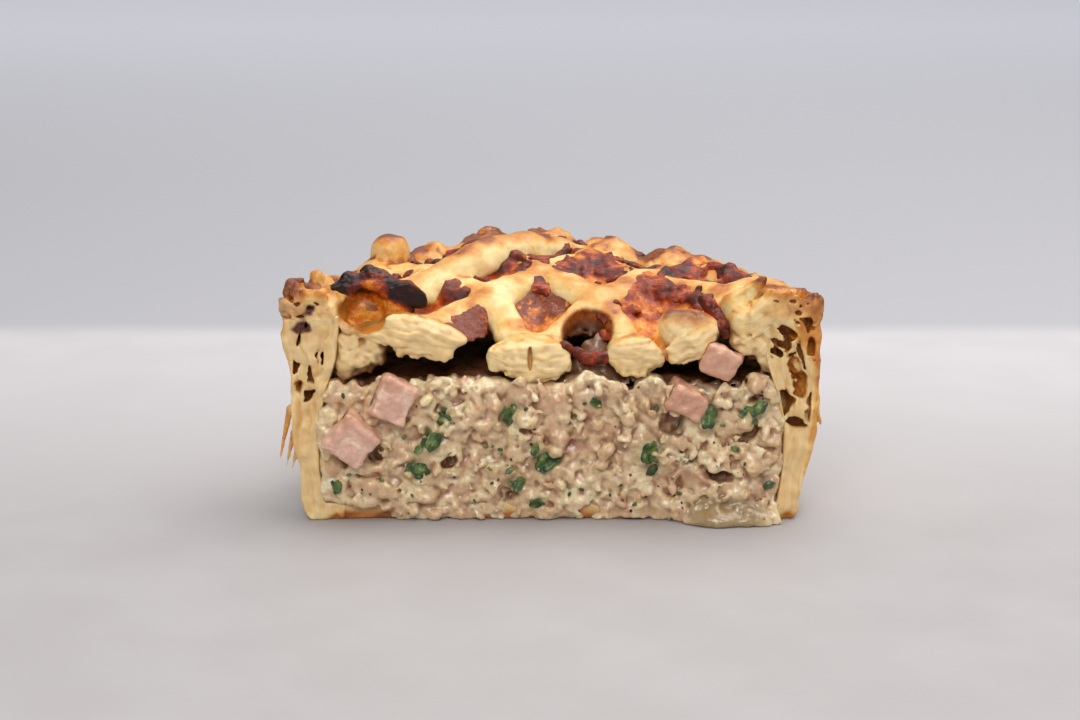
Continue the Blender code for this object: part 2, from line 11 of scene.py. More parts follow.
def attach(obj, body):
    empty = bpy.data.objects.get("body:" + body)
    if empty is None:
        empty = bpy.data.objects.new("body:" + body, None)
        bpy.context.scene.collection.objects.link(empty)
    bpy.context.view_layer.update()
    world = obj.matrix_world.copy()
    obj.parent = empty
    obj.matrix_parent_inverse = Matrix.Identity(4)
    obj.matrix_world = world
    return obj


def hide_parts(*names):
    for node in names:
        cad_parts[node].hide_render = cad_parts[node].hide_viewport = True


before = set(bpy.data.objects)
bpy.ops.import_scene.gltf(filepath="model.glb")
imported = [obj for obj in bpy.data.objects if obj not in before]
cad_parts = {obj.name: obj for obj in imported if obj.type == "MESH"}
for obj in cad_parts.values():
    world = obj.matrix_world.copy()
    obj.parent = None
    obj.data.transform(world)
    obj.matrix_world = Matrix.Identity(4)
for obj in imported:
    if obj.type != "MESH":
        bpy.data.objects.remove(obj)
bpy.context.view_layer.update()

# Lengths below are millimetres, measured from the middle of the whole pie's base: the cut runs
# along X at y = 0 and the crust curves away behind it. PLACE is where that middle is in the frame.
MM = 0.001
PLACE = np.array([0.15, -24.1, 0.0])

# The same sizes as the CAD part has.
CASE_HEIGHT, BASE_THICKNESS = 40.0, 3.5
CASE_INSIDE = np.array([(45.8, 3.5), (46.8, 10), (47, 19), (45.2, 27), (43.2, 33), (42.4, 40)])
CASE_OUTSIDE = np.array(
    [(49, 0), (50.8, 2), (51.9, 12), (53.1, 22), (54.1, 32), (54.6, 38.5), (54.2, 40)]
)
LID_HEIGHT, STRIP_RADIUS, STRIP_FLATNESS, CUT_SWELL = 43.0, 4.1, 0.8, 0.18
HALF_PITCH, ROW_SPACING, FIRST_COLUMN, COLUMNS, ROWS = 11.5, 13.0, -60.0, 12, 6
RIM_MIDDLE, RIM_HALF_WIDTH, RIM_HALF_HEIGHT, CRIMPS = 49.0, 5.6, 2.8, 22
SAG, SAG_HALF_WIDTH, SAG_DEPTH, BACK_RISE = 10.6, 43.0, 12.5, 4.2
# How far some of the lattice's crossings, by column and row, are dragged along X and Y.
DRAGGED = {
    (3, 1): (-1.5, 4.0),
    (5, 1): (-1.7, 2.0),
    (7, 1): (1.5, -9.0),
    (2, 2): (-3.0, -6.0),
    (4, 2): (1.5, 2.0),
    (6, 2): (1.2, 2.0),
    (8, 2): (5.5, 1.5),
}
FILLING_TOP, BULGE = 28.4, 1.6
MOST_RADIUS, MOST_HEIGHT = 54.45, 52.9  # a little inside the CAD part's box
SQUARENESS = 2.4  # of a strip's section: 2 is an ellipse, and more is nearer to a block

COARSE = 1.0  # how much wider the cells are while trying things

# ---------------------------------------------------------------- noise and fields

RANDOM = np.random.default_rng(11)
SHUFFLE = RANDOM.permutation(256)
GRADIENTS = RANDOM.normal(size=(256, 3))
GRADIENTS = (GRADIENTS / np.linalg.norm(GRADIENTS, axis=1)[:, None]).astype(np.float32)
JITTER = RANDOM.uniform(-0.45, 0.45, (256, 3)).astype(np.float32)


def unit_cells(x, y, z, size, seed, shifts):
    """Places counted in sizes and shifted by a seed, and the whole cells that they lie in."""
    places = [np.asarray(a, np.float32) / size + seed * s for a, s in zip((x, y, z), shifts)]
    places = np.broadcast_arrays(*places)
    return places, [np.floor(a).astype(np.int32) for a in places]


def cell_number(cells, step):
    """A shuffled number from 0 to 255 for the cells that lie a step away."""
    number = 0
    for cell, side in zip(cells, step):
        number = SHUFFLE[(number + cell + side) & 255]
    return number


def noise(x, y, z, size=1.0, seed=0):
    """Smooth noise, about -1 to 1, whose lumps have the given size."""
    places, cells = unit_cells(x, y, z, size, seed, (17.3, 9.1, 5.7))
    inside = [a - c for a, c in zip(places, cells)]
    fades = [a * a * a * (a * (a * 6 - 15) + 10) for a in inside]
    total = np.zeros(places[0].shape, np.float32)
    for corner in product((0, 1), repeat=3):
        number = cell_number(cells, corner)
        weight = math.prod(fade if step else 1 - fade for fade, step in zip(fades, corner))
        total += weight * sum(GRADIENTS[number, n] * (inside[n] - corner[n]) for n in range(3))
    return total * 1.6


def chunks(x, y, z, size, seed=0):
    """Space parted into chunks of about the given size: how far each place is from its chunk's
    middle and from the nearest border, in sizes, and a number from 0 to 1 for the chunk."""
    places, cells = unit_cells(x, y, z, size, seed, (3.7, 7.1, 5.3))
    first = np.full(places[0].shape, 9.0, np.float32)
    second = first.copy()
    which = np.zeros(places[0].shape, np.int32)
    for step in product((-1, 0, 1), repeat=3):
        number = cell_number(cells, step)
        parts = [cells[n] + step[n] + 0.5 + JITTER[number, n] - places[n] for n in range(3)]
        far = np.sqrt(sum(p * p for p in parts))
        nearer = far < first
        second = np.where(nearer, first, np.minimum(second, far))
        which = np.where(nearer, number, which)
        first = np.minimum(first, far)
    return first, second - first, which / 255


def axis(*stretches):
    """Cell edges along one axis, from stretches given as start, end and step."""
    parts = []
    for start, end, step in stretches:
        count = max(2, int(round((end - start) / (step * COARSE))))
        parts.append(np.linspace(start, end, count + 1)[:-1])
    parts.append([stretches[-1][1]])
    return np.concatenate(parts).astype(np.float32)


def grid(axes, spot=None, sparse=False):
    """X, Y and Z at every corner of the cells, or only in a spot that is given as slices."""
    if spot is not None:
        axes = [a[s] for a, s in zip(axes, spot)]
    return np.meshgrid(*axes, indexing="ij", sparse=sparse)


def near(axes, centre, reach):
    """The stretch of each axis within reach of a place, as slices."""
    ends = [np.searchsorted(a, (c - reach, c + reach)).tolist() for a, c in zip(axes, centre)]
    return tuple(slice(*pair) for pair in ends)


def picked(chosen, *arrays):
    """What each array holds at the chosen places."""
    return [np.broadcast_to(a, chosen.shape)[chosen] for a in arrays]


def blend(one, other, width):
    """The union of two fields, with a fillet of the given width."""
    share = np.clip(0.5 + 0.5 * (other - one) / width, 0, 1)
    return other * (1 - share) + one * share - width * share * (1 - share)


def carve(field, taken, width):
    """A field with another taken out of it, with a rounded edge."""
    return -blend(-field, taken, width)


def smooth(value, low, high):
    """0 below low and 1 above high, with an even change between."""
    share = np.clip((value - low) / (high - low), 0, 1)
    return share * share * (3 - 2 * share)


def hill(x, y, middle_x, middle_y, spread_x, spread_y):
    """1 at a middle and falling to 0 round it, with a spread along each of two directions."""
    return np.exp(-(((x - middle_x) / spread_x) ** 2) - ((y - middle_y) / spread_y) ** 2)


def turn(rotation):
    """The matrix of a rotation given in degrees about X, Y and Z."""
    return np.array(Euler([math.radians(a) for a in rotation]).to_matrix(), np.float32)


def from_centre(x, y, z, centre, rotation):
    """Places measured from a centre, along the directions of something that is turned there."""
    away = np.stack(np.broadcast_arrays(x - centre[0], y - centre[1], z - centre[2]), -1)
    return away @ turn(rotation)


def egg(x, y, z, centre, radii, rotation=(0, 0, 0)):
    """The field of an ellipsoid."""
    radii = np.array(radii, np.float32)
    local = from_centre(x, y, z, centre, rotation) / radii
    length = np.sqrt((local**2).sum(-1)) + 1e-6
    steep = np.sqrt(((local / radii) ** 2).sum(-1)) + 1e-6
    return length * (length - 1) / steep


def brick(x, y, z, centre, size, rotation, corner=1.1):
    """The field of a box with rounded corners."""
    half = np.array(size, np.float32) / 2
    beyond = np.abs(from_centre(x, y, z, centre, rotation)) - half + corner
    outside = np.sqrt((np.maximum(beyond, 0) ** 2).sum(-1))
    return outside + np.minimum(beyond.max(-1), 0) - corner


def rod(x, y, z, one, other, radius, taper=0.0):
    """The field of a round rod between two places, which may grow thinner towards the other."""
    one, other = np.array(one, np.float32), np.array(other, np.float32)
    along = other - one
    away = [x - one[0], y - one[1], z - one[2]]
    share = np.clip(sum(a * d for a, d in zip(away, along)) / (along @ along), 0, 1)
    far = np.sqrt(sum((a - share * d) ** 2 for a, d in zip(away, along)))
    return far - radius * (1 - taper * share)


def spike(x, y, z, root, tip, width):
    """The field of a cone that runs from a root to a point."""
    return rod(x, y, z, root, tip, width, 0.9)


def segment_distance(x, y, one, other):
    """How far points are from a straight line between two places, in plan."""
    dx, dy = other[0] - one[0], other[1] - one[1]
    share = np.clip(((x - one[0]) * dx + (y - one[1]) * dy) / (dx * dx + dy * dy), 0, 1)
    return np.hypot(x - one[0] - share * dx, y - one[1] - share * dy)


# ---------------------------------------------------------------- meshes


def tuck(field, place, start, end):
    """A field drawn in a little from start to end, so that one part's edge hides in the next."""
    return field + 0.3 * smooth((place - start) / (end - start), 0.0, 1.0)


def skin(field, axes):
    """The surface where a field is zero, as points and quads that face out."""
    field = np.array(field, np.float32)
    for side in range(3):
        for end in (0, -1):
            edge = [slice(None)] * 3
            edge[side] = end
            field[tuple(edge)] = np.maximum(field[tuple(edge)], 0.05)
    solid = field < 0
    shape = np.array(solid.shape) - 1
    total = np.zeros(shape, np.int8)
    for a, b, c in product((0, 1), repeat=3):
        total += solid[a : shape[0] + a, b : shape[1] + b, c : shape[2] + c]
    crossed = (total > 0) & (total < 8)
    number = np.full(shape, -1, np.int32)
    cells = np.argwhere(crossed)
    number[crossed] = np.arange(len(cells))
    sums, counts = np.zeros((len(cells), 3)), np.zeros(len(cells))
    for side in range(3):
        others = [n for n in range(3) if n != side]
        for b, c in product((0, 1), repeat=2):
            start = cells.copy()
            start[:, others[0]] += b
            start[:, others[1]] += c
            end = start.copy()
            end[:, side] += 1
            one, other = field[tuple(start.T)], field[tuple(end.T)]
            cut = (one < 0) != (other < 0)
            share = np.where(cut, one / np.where(cut, one - other, 1), 0)
            for n in range(3):
                low, high = axes[n][start[:, n]], axes[n][end[:, n]]
                sums[:, n] += np.where(cut, low + share * (high - low), 0)
            counts += cut
    points = sums / counts[:, None]
    quads = []
    for side in range(3):
        b, c = [(1, 2), (2, 0), (0, 1)][side]
        inner = [slice(1, -1)] * 3
        inner[side] = slice(0, -1)
        after = list(inner)
        after[side] = slice(1, None)
        one, other = solid[tuple(inner)], solid[tuple(after)]
        at = np.argwhere(one != other)
        out = one[tuple(at.T)]
        at[:, b] += 1
        at[:, c] += 1
        ring = []
        for step_b, step_c in ((-1, -1), (0, -1), (0, 0), (-1, 0)):
            spot = at.copy()
            spot[:, b] += step_b
            spot[:, c] += step_c
            ring.append(number[tuple(spot.T)])
        ring = np.stack(ring, 1)
        ring[~out] = ring[~out][:, ::-1]
        quads.append(ring)
    return points, np.concatenate(quads)


def keep_bodies(points, quads, least):
    """Drops the loose crumbs that have fewer points than least."""
    label = np.arange(len(points))
    one, other = quads.ravel(), np.roll(quads, 1, axis=1).ravel()
    while True:
        low = np.minimum(label[one], label[other])
        new = label.copy()
        np.minimum.at(new, one, low)
        np.minimum.at(new, other, low)
        new = new[new]
        if (new == label).all():
            break
        label = new
    big = np.bincount(label, minlength=len(points)) >= least
    kept = big[label]
    fresh = np.cumsum(kept) - 1
    return points[kept], fresh[quads[kept[quads[:, 0]]]]


def open_ends(points, quads, axes):
    """Drops the flat ends where a part stops at the edge of its cells, inside the next part."""
    for side in range(3):
        steps = np.diff(axes[side])
        for edge, step in ((axes[side][0], steps[0]), (axes[side][-1], steps[-1])):
            flat = np.abs(points[:, side] - edge) < 0.35 * step
            quads = quads[~flat[quads].all(1)]
    used, numbers = np.unique(quads, return_inverse=True)
    return points[used], numbers.reshape(-1, 4)


def slopes(points, quads):
    """The direction that each point of a surface faces."""
    a, b, c, d = (points[quads[:, n]] for n in range(4))
    facing = np.cross(c - a, d - b)
    total = np.zeros(points.shape)
    for corner, side in product(range(4), range(3)):
        total[:, side] += np.bincount(quads[:, corner], facing[:, side], len(points))
    return total / (np.linalg.norm(total, axis=1)[:, None] + 1e-9)


def hollows(points, quads, facing, rounds):
    """How far each point lies under the surface round it, in millimetres."""
    one, other = quads.ravel(), np.roll(quads, -1, axis=1).ravel()
    count = len(points)
    ends = np.bincount(one, minlength=count) + np.bincount(other, minlength=count)
    even = points
    for _ in range(rounds):
        sums = np.zeros(points.shape)
        for (here, there), side in product(((one, other), (other, one)), range(3)):
            sums[:, side] += np.bincount(here, even[there, side], count)
        even = sums / ends[:, None]
    return ((even - points) * facing).sum(1)


def grown(parts, field_of, least):
    """The surface of a body that is made in several parts, each with cells of its own size."""
    skins = []
    for axes in parts:
        bodies = keep_bodies(*skin(field_of(axes), axes), least)
        skins.append(open_ends(*bodies, axes))
    return join(skins)


def join(parts):
    """Several sets of points and quads as one."""
    points, quads, count = [], [], 0
    for some, faces in parts:
        points.append(some)
        quads.append(faces + count)
        count += len(some)
    return np.concatenate(points), np.concatenate(quads)


def new_object(name, data):
    """An object in the scene."""
    obj = bpy.data.objects.new(name, data)
    bpy.context.scene.collection.objects.link(obj)
    return obj


def mesh_object(name, points, faces, look, tones=None):
    """An object from points in pie millimetres, with a material and a number for each tone at
    each point."""
    mesh = bpy.data.meshes.new(name)
    mesh.from_pydata(((points + PLACE) * MM).tolist(), [], faces.tolist())
    mesh.validate()
    for tone, values in (tones or {}).items():
        attribute = mesh.attributes.new(tone, "FLOAT", "POINT")
        attribute.data.foreach_set("value", np.ascontiguousarray(values, np.float32))
    mesh.materials.append(look)
    mesh.shade_smooth()
    obj = new_object(name, mesh)
    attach(obj, "root")
    return obj


# ---------------------------------------------------------------- shared shapes


def inside_radius(z):
    """The radius of the wall's inner face at a height."""
    return np.interp(z, CASE_INSIDE[:, 1], CASE_INSIDE[:, 0]).astype(np.float32)


def outside_radius(z):
    """The radius of the wall's outer face at a height."""
    return np.interp(z, CASE_OUTSIDE[:, 1], CASE_OUTSIDE[:, 0]).astype(np.float32)


def drape(x, y):
    """The height of the middle of the lid's sheet: raised at the back and fallen in at the cut."""
    depth = np.maximum(y, 0)
    rise = BACK_RISE * hill(x, depth, -8, 47, 24, 24)
    rise = rise + 1.7 * hill(x, depth, -25, 1, 8, 9)
    across = np.maximum(0, 1 - (x / SAG_HALF_WIDTH) ** 2) ** 0.8
    return LID_HEIGHT + rise - SAG * across * np.exp(-((depth / SAG_DEPTH) ** 2))


def crossing(column, row):
    """Where two strips of the lattice cross, in plan."""
    dragged_x, dragged_y = DRAGGED.get((column, row), (0.0, 0.0))
    x, y = FIRST_COLUMN + column * HALF_PITCH, (row - 1) * ROW_SPACING
    return np.array([x + dragged_x, y + dragged_y])


def finer(line, steps):
    """A line with points added between its corners, which are rounded a little."""
    points = []
    for one, other in zip(line, line[1:]):
        points += [one + (other - one) * step / steps for step in range(steps)]
    points.append(line[-1])
    rounded = [(a + 2 * b + c) / 4 for a, b, c in zip(points, points[1:], points[2:])]
    return [points[0]] + rounded + [points[-1]]


def within_box(field, x, y, z):
    """A field kept inside the CAD part's reach at the back and at the top."""
    return carve(carve(field, MOST_RADIUS - np.hypot(x, y), 0.8), MOST_HEIGHT - z, 0.5)


def strip_lines(lean):
    """The middle line of each strip that leans one way, in plan."""
    lines = []
    for start in range(-ROWS, COLUMNS + ROWS):
        places = [(start + lean * row, row) for row in range(ROWS)]
        line = [crossing(*place) for place in places if sum(place) % 2 == 0]
        if min((np.hypot(*point) for point in line), default=99) < RIM_MIDDLE:
            fine = finer(line, 3)
            lines.append([p for p in fine if np.hypot(*p) < RIM_MIDDLE + 3])
    return lines


def strip_distance(x, y):
    """How far places are from the middle line of the nearest strip, softened at crossings."""
    nearest = []
    for lean in (1, -1):
        far = np.full(np.broadcast(x, y).shape, 99, np.float32)
        for line in strip_lines(lean):
            for one, other in zip(line, line[1:]):
                far = np.minimum(far, segment_distance(x, y, one, other))
        nearest.append(far)
    return np.maximum(blend(nearest[0], nearest[1], 1.8), 0), np.maximum(*nearest)


def half_thickness(x, y):
    """How tall the strips stand on their middle line, against their half width."""
    swell = 1 + CUT_SWELL * np.exp(-((y / 7) ** 2))
    return STRIP_FLATNESS * swell * (1 + 0.12 * noise(x, y, 0 * x, 7, 1))


def strip_radius(x, y):
    """The half width of the strips: swollen at the cut, drawn out behind it."""
    drawn = -0.45 * np.exp(-(((y - 8.5) / 4.5) ** 2)) + 0.3 * np.exp(-((y / 3.5) ** 2))
    return STRIP_RADIUS - 0.45 + drawn * (np.abs(x) < 40) + 0.4 * noise(x, y, 0 * x, 8, 3)


def filling_level(x, y):
    """The height of the filling: uneven, and never into the lid that has fallen onto it."""
    lumps = 1.3 * noise(x, y, 0 * x, 5, 2) + 0.6 * noise(x, y, 0 * x, 2.4, 4)
    mound = 7.8 * hill(x, y, 9.0, 8.0, 4.8, 4.8)
    under_lid = drape(x, y) - STRIP_RADIUS * STRIP_FLATNESS * (1 + CUT_SWELL) - 0.5
    return np.minimum(FILLING_TOP + lumps, under_lid) + mound


# ---------------------------------------------------------------- the lid


def cut_edge(x, z, sheet):
    """Where the torn cut of the lid stands, from its thin layers; sheet counts them."""
    layer = np.floor(sheet)
    along = noise(x, 3.1 * layer, z, 3.2, 5)
    fine = noise(x, 7.7 * layer, z, 1.3, 6)
    groove = smooth(np.abs(sheet - layer - 0.5), 0.2, 0.5)
    puffed = 0.85 * noise(x, 0 * x, z, 4.0, 7) + 0.35 * noise(x, 0 * x, z, 1.5, 8)
    return 0.36 * along + 0.2 * fine + 0.14 * groove + puffed - 0.7


def lid_parts():
    """The cells of the front of the lid, which are fine, and of the rest."""
    yield axis((-57.5, 57.5, 0.36)), axis((-3.2, 5.8, 0.31)), axis((27.0, 51.0, 0.33))
    yield axis((-57.5, 57.5, 0.55)), axis((4.2, 57.0, 0.58)), axis((30.0, 54.0, 0.45))


def rim_field(x, y, z):
    """The lid's edge on the wall: a half ring pressed into crimps of uneven size."""
    depth = np.maximum(y, 0)
    radius = np.hypot(x, y) + 1e-6
    around = np.arctan2(depth, x)
    out = np.hypot(x, depth) + 1e-6
    lobe = np.abs(np.sin(around * CRIMPS / 2))
    swell = 0.82 + 0.3 * lobe + 0.25 * noise(x / out, depth / out, 0 * x, 0.2, 9)
    low = 1 - 0.85 * hill(x, depth, -42, 24, 13, 12) - 0.85 * hill(x, depth, 44, 20, 11, 12)
    lift = (0.6 + 1.3 * smooth(depth, 12, 34)) * lobe * low + drape(x, y) - LID_HEIGHT
    lift = lift - 0.9 * hill(x, depth, 45, 18, 9, 10)
    up = (z - LID_HEIGHT) / (RIM_HALF_HEIGHT * swell + np.where(z > LID_HEIGHT, lift, 0))
    across = (radius - RIM_MIDDLE) / (RIM_HALF_WIDTH * swell)
    return (np.sqrt(up * up + across * across) - 1) * RIM_HALF_HEIGHT


def fold_field(x, y, z):
    """The thick fold of dough that lies over the back left of the lattice."""
    line = [(-27, 18, 42.6), (-20, 25, 46.0), (-13, 32, 48.2), (-6, 37.5, 48.8), (1, 43, 46.8)]
    field = rod(x, y, z, line[0], line[1], 4.2)
    for one, other in zip(line[1:], line[2:]):
        field = blend(field, rod(x, y, z, one, other, 4.5), 0.5)
    pleats = np.sin(1.15 * (x + 0.8 * z) + 1.6 * noise(x, y, z, 7, 28))
    return field + 0.22 * pleats * smooth(z, 50, 46)


# Lumps, blocks and points of dough on the lid and along its cut: kind, middle, radii or size,
# and turn. A spike has its root, its point and its width.
LOOSE_ENDS = [
    ("egg", (-29.5, 1.0, 38.9), (13.0, 4.6, 3.3), (-8, 9, 0)),
    ("block", (-34.2, 36.0, 46.8), (8.2, 7.4, 12.0), (4, -4, 30)),
    ("egg", (-50.2, 2.4, 46.6), (1.7, 2.4, 1.6), (0, -30, 0)),
    ("egg", (-45.4, 3.4, 46.0), (1.8, 2.2, 1.3), (0, 10, 0)),
    ("egg", (32.6, 38.0, 44.6), (4.8, 3.4, 3.1), (0, 12, -40)),
    ("spike", (32.0, 37.5, 44.8), (38.0, 34.5, 43.6), 2.3),
    ("egg", (-51.6, 6.0, 45.8), (2.2, 2.8, 3.0), (0, -14, 20)),
    ("egg", (-53.2, 1.6, 44.4), (2.2, 2.6, 1.7), (0, -14, 0)),
    ("block", (-47.6, 9.5, 47.0), (2.8, 2.8, 5.6), (0, 6, 10)),
    ("egg", (-46.0, 13.5, 46.2), (1.5, 1.5, 2.4), (0, -6, 0)),
    ("egg", (46.8, 2.4, 43.0), (3.6, 4.2, 3.6), (0, -6, 0)),
    ("egg", (52.0, 2.4, 43.0), (2.9, 4.2, 3.2), (0, 6, 0)),
    ("spike", (38.0, 7.0, 42.6), (43.2, 6.0, 49.2), 3.8),
    ("egg", (-8.8, 1.6, 33.4), (4.6, 4.6, 3.5), (0, -4, 0)),
    ("egg", (-0.6, 1.6, 33.0), (4.6, 4.6, 3.8), (0, 4, 0)),
    ("egg", (16.7, 1.8, 33.5), (5.6, 4.6, 3.9), (0, 6, 0)),
    ("egg", (27.6, 3.6, 38.6), (6.4, 4.3, 4.4), (0, 10, 0)),
    ("egg", (-40.6, 4.0, 35.0), (3.4, 3.6, 6.6), (0, 12, 0)),
    ("egg", (-37.4, 3.8, 35.2), (4.6, 2.6, 5.8), (0, 14, 0)),
    ("egg", (43.6, 4.0, 36.4), (3.6, 4.0, 6.4), (0, -8, 0)),
    ("egg", (41.6, 4.6, 40.6), (5.6, 4.6, 3.6), (0, 0, 0)),
    ("egg", (39.6, 4.2, 37.6), (3.8, 3.2, 4.4), (0, 0, 0)),
]


def add_loose_ends(field, axes):
    """Blends the loose ends of dough into the lid's field."""
    for kind, place, size, extra in LOOSE_ENDS:
        reach = (max(size) if kind != "spike" else 9) + 4
        spot = near(axes, place, reach)
        x, y, z = grid(axes, spot)
        if not x.size:
            continue
        if kind == "egg":
            shape = egg(x, y, z, place, size, extra)
        elif kind == "block":
            shape = brick(x, y, z, place, size, extra, 0.46 * min(size))
        else:
            shape = spike(x, y, z, place, size, extra)
        field[spot] = blend(field[spot], shape, 1.0)


# Hollows in the lid, each with its middle, radii and turn: the one that the bubble of cheese
# left at the left, the window that shows the filling, and the cracks in a strip's cut end.
BUBBLE = ((-37.0, 3.4, 43.0), (5.8, 6.0, 3.6), (0, -10, 0))
WINDOW = ((7.4, 6.8, 38.0), (4.9, 5.4, 6.0), (0, 22, 0))
CRACKS = [((-4.2, -0.5, 33.6), (0.5, 2.4, 2.6)), ((-11.2, 0, 36.6), (0.5, 1.4, 1.6), (0, 25, 0))]
HAM_GAP = ((34.0, 1.6, 32.6), (7.6, 7.2, 6.4), (0, 24, -4))  # room for the dice under the lid


def bubble_field(x, y, z):
    """The field of the hollow that a bubble of cheese left in the lid."""
    return egg(x, y, z, *BUBBLE) + 1.3 * noise(x, y, z, 4.2, 29)


def lid_layers(x, y, z):
    """A count of the thin layers of the lid, which lie flat in its strips."""
    height = (z - drape(x, y)) / STRIP_FLATNESS
    return 0.55 * height + 1.0 * noise(x, y, z, 8, 15) + 0.35 * noise(x, y, z, 3.0, 19)


def strip_field(x, y, z):
    """The lattice alone: strips that are thicker at their crossings, as far as the rim. X and Y
    are flat, without the axis that Z has."""
    strips, widest = strip_distance(x, y)
    tall = half_thickness(x, y) * (1 + 0.16 * np.exp(-((widest / 3.5) ** 2)))
    up = np.abs(z - drape(x, y)[:, :, None]) / tall[:, :, None]
    rounded = (strips[:, :, None] ** SQUARENESS + up**SQUARENESS) ** (1 / SQUARENESS)
    inside_rim = np.hypot(x, y)[:, :, None] - RIM_MIDDLE - 2.5
    return np.maximum(rounded - strip_radius(x, y)[:, :, None], inside_rim)


def lid_relief(x, y, z, sheet):
    """How far the lid's dough is puffed, creased and crumbly; sheet is its middle height."""
    puffs = 0.4 * noise(x, y, z, 5.5, 11) + 0.24 * noise(x, y, z, 2.3, 12)
    creases = np.clip(1 - 7 * np.abs(noise(x, y, z, 4.4, 18)), 0, 1)
    flakes = 0.14 * np.abs(noise(x, y, z * 1.6, 1.5, 13))
    crumbs = 0.8 * noise(x, y, z, 2.4, 14) + 0.45 * noise(x, y, z, 1.1, 17)
    crumbs = smooth(sheet - z, 0.3, 2.5) * crumbs
    crumbly = smooth(np.abs(x), 41, 45) * smooth(y, 10, 5) * smooth(z, 39, 42)
    crumbs += crumbly * (1.2 * noise(x, y, z, 2.4, 26) + 0.8 * noise(x, y, z, 1.2, 27))
    return puffs + crumbs - flakes - 0.2 * creases


def tear_lid(field, axes, x, y, z):
    """Tears the front of the lid along its layers, and opens its cracks and air pockets."""
    front = axes[1] < 6.0
    if not front.any():
        return
    part, y = field[:, front], y[:, front]
    recede = 1.5 * np.exp(np.minimum(part, 0) / 0.8)
    torn = cut_edge(x, z, lid_layers(x, y, z)) + recede
    ends = smooth(np.abs(x), 41.5, 44.5)
    torn = torn * (1 - ends) + wall_edge(x, z) * ends
    crack = np.minimum(*[egg(x, y, z, *place) for place in CRACKS])
    field[:, front] = np.maximum(carve(part, y - torn, 0.5), -crack)
    open_pockets(field, axes)


def lid_field(axes):
    """Rim, lattice and loose ends of dough as one soft puffed solid, torn where it is cut."""
    x, y, z = grid(axes, sparse=True)
    flat_x, flat_y = np.broadcast_arrays(x[:, :, 0], y[:, :, 0])
    field = strip_field(flat_x, flat_y, z)
    field = blend(field, rim_field(x, y, z), 1.4)
    field = blend(field, fold_field(x, y, z), 0.7)
    add_loose_ends(field, axes)
    field = carve(field, bubble_field(x, y, z), 0.8)
    field = carve(field, egg(x, y, z, *WINDOW), 0.8)
    close = np.abs(field) < 2.4
    field[close] -= lid_relief(*picked(close, x, y, z, drape(flat_x, flat_y)[:, :, None]))
    tear_lid(field, axes, x, y, z)
    radius = np.hypot(x, y)
    wall = np.maximum(inside_radius(z) - 0.1 + 1.4 * smooth(y, 4, 2.5) - radius, z - CASE_HEIGHT)
    field = np.maximum(field, -wall)
    field = np.maximum(field, -brick(x, y, z, *HAM_GAP))
    field = within_box(field, x, y, z)
    return tuck(field, y, 5.0, 5.8 if axes[1][0] < 0 else 4.2)


def lid():
    """The lid's mesh."""
    points, quads = grown(lid_parts(), lid_field, 400)
    return mesh_object("lattice_pastry", points, quads, pastry_look(), lid_tones(points, quads))


# Where the lid has browned more: how much, the middle and the spread in plan, and the heights
# between which it sets in, or None where it takes what faces up.
BROWNED = [
    (0.3, (-34.4, 36, 5, 5), (44, 49)),
    (0.3, (33.5, 38, 5, 5), (43, 46)),
    (0.75, (43, 6, 2.6, 3), (46.4, 48.6)),
    (0.4, (-49, 9, 3, 5), (44.5, 48)),
    (0.18, (12, 13, 11, 8), None),
    (0.3, (24, 14, 9, 7), None),
]


def lid_browning_and_shade(x, y, z, facing, height, hollow):
    """How browned each point of the lid is, with painted shade in its hollows; height counts from
    the middle of its sheet.
    """
    up = smooth(facing, 0.1, 0.95)
    patches = noise(x, y, z, 6, 21) + 0.4 * noise(x, y, z, 2.4, 22)
    rim = smooth(np.hypot(x, y), 43, 47)
    brown = 0.06 + 0.1 * up + 0.5 * up * smooth(patches, -0.15, 0.75) * smooth(height, 0.2, 0.8)
    brown += 0.42 * up * rim * smooth(patches, -0.9, 0.4) * smooth(y, 2, 8)
    brown += 0.1 * smooth(y, 26, 42) * up + 0.08 * up * smooth(x, 4, 20) * smooth(y, 6, 12)
    brown += 0.16 * smooth(z, 49.0, 52.0) * up
    for amount, spot, heights in BROWNED:
        brown += amount * hill(x, y, *spot) * (smooth(z, *heights) if heights else up)
    brown += 0.5 * hill(x, y, -53, 3, 3, 7)
    torn_right = hill(x, y, 28.5, 1, 7, 6) * smooth(z, 39.0, 41.5)
    brown += 0.75 * torn_right * smooth(facing, -0.2, 0.5)
    brown += corner_crumbs(x, y, z) * (0.14 + 0.4 * smooth(noise(x, y, z, 2.4, 26), -0.4, 0.4))
    brown += 0.3 * hill(x, y, 2.5, 1.0, 4, 4) * smooth(height, 0.3, 0.9)
    brown += 0.35 * hill(x, y, -22, 4.0, 6, 5) * smooth(height, 0.3, 1.0)
    brown += 0.3 * smooth(x, 47.5, 53) * smooth(y, 9, 4)
    # Painted shade: the lid is browner in its hollows, where shade falls.
    brown += 0.5 * smooth(hollow, 0.03, 0.2)
    folded = smooth(fold_field(x, y, z), 1.0, 0.2)
    brown *= 1 - 0.8 * folded * smooth(facing, 0.75, 0.35)
    return brown + 0.2 * folded * smooth(facing, 0.6, 0.95)


def corner_crumbs(x, y, z):
    """1 on the crumbly corners where the rim was cut through, and 0 elsewhere."""
    return smooth(np.abs(x), 41, 45) * smooth(y, 10, 5) * smooth(z, 40, 43)


def scorched(spots, x, y, z):
    """Where the burnt spots at the front left are black, in uneven patches."""
    return smooth(spots * smooth(y, 5, 2) + 0.5 * noise(x, y, z, 1.6, 24), 0.4, 0.75)


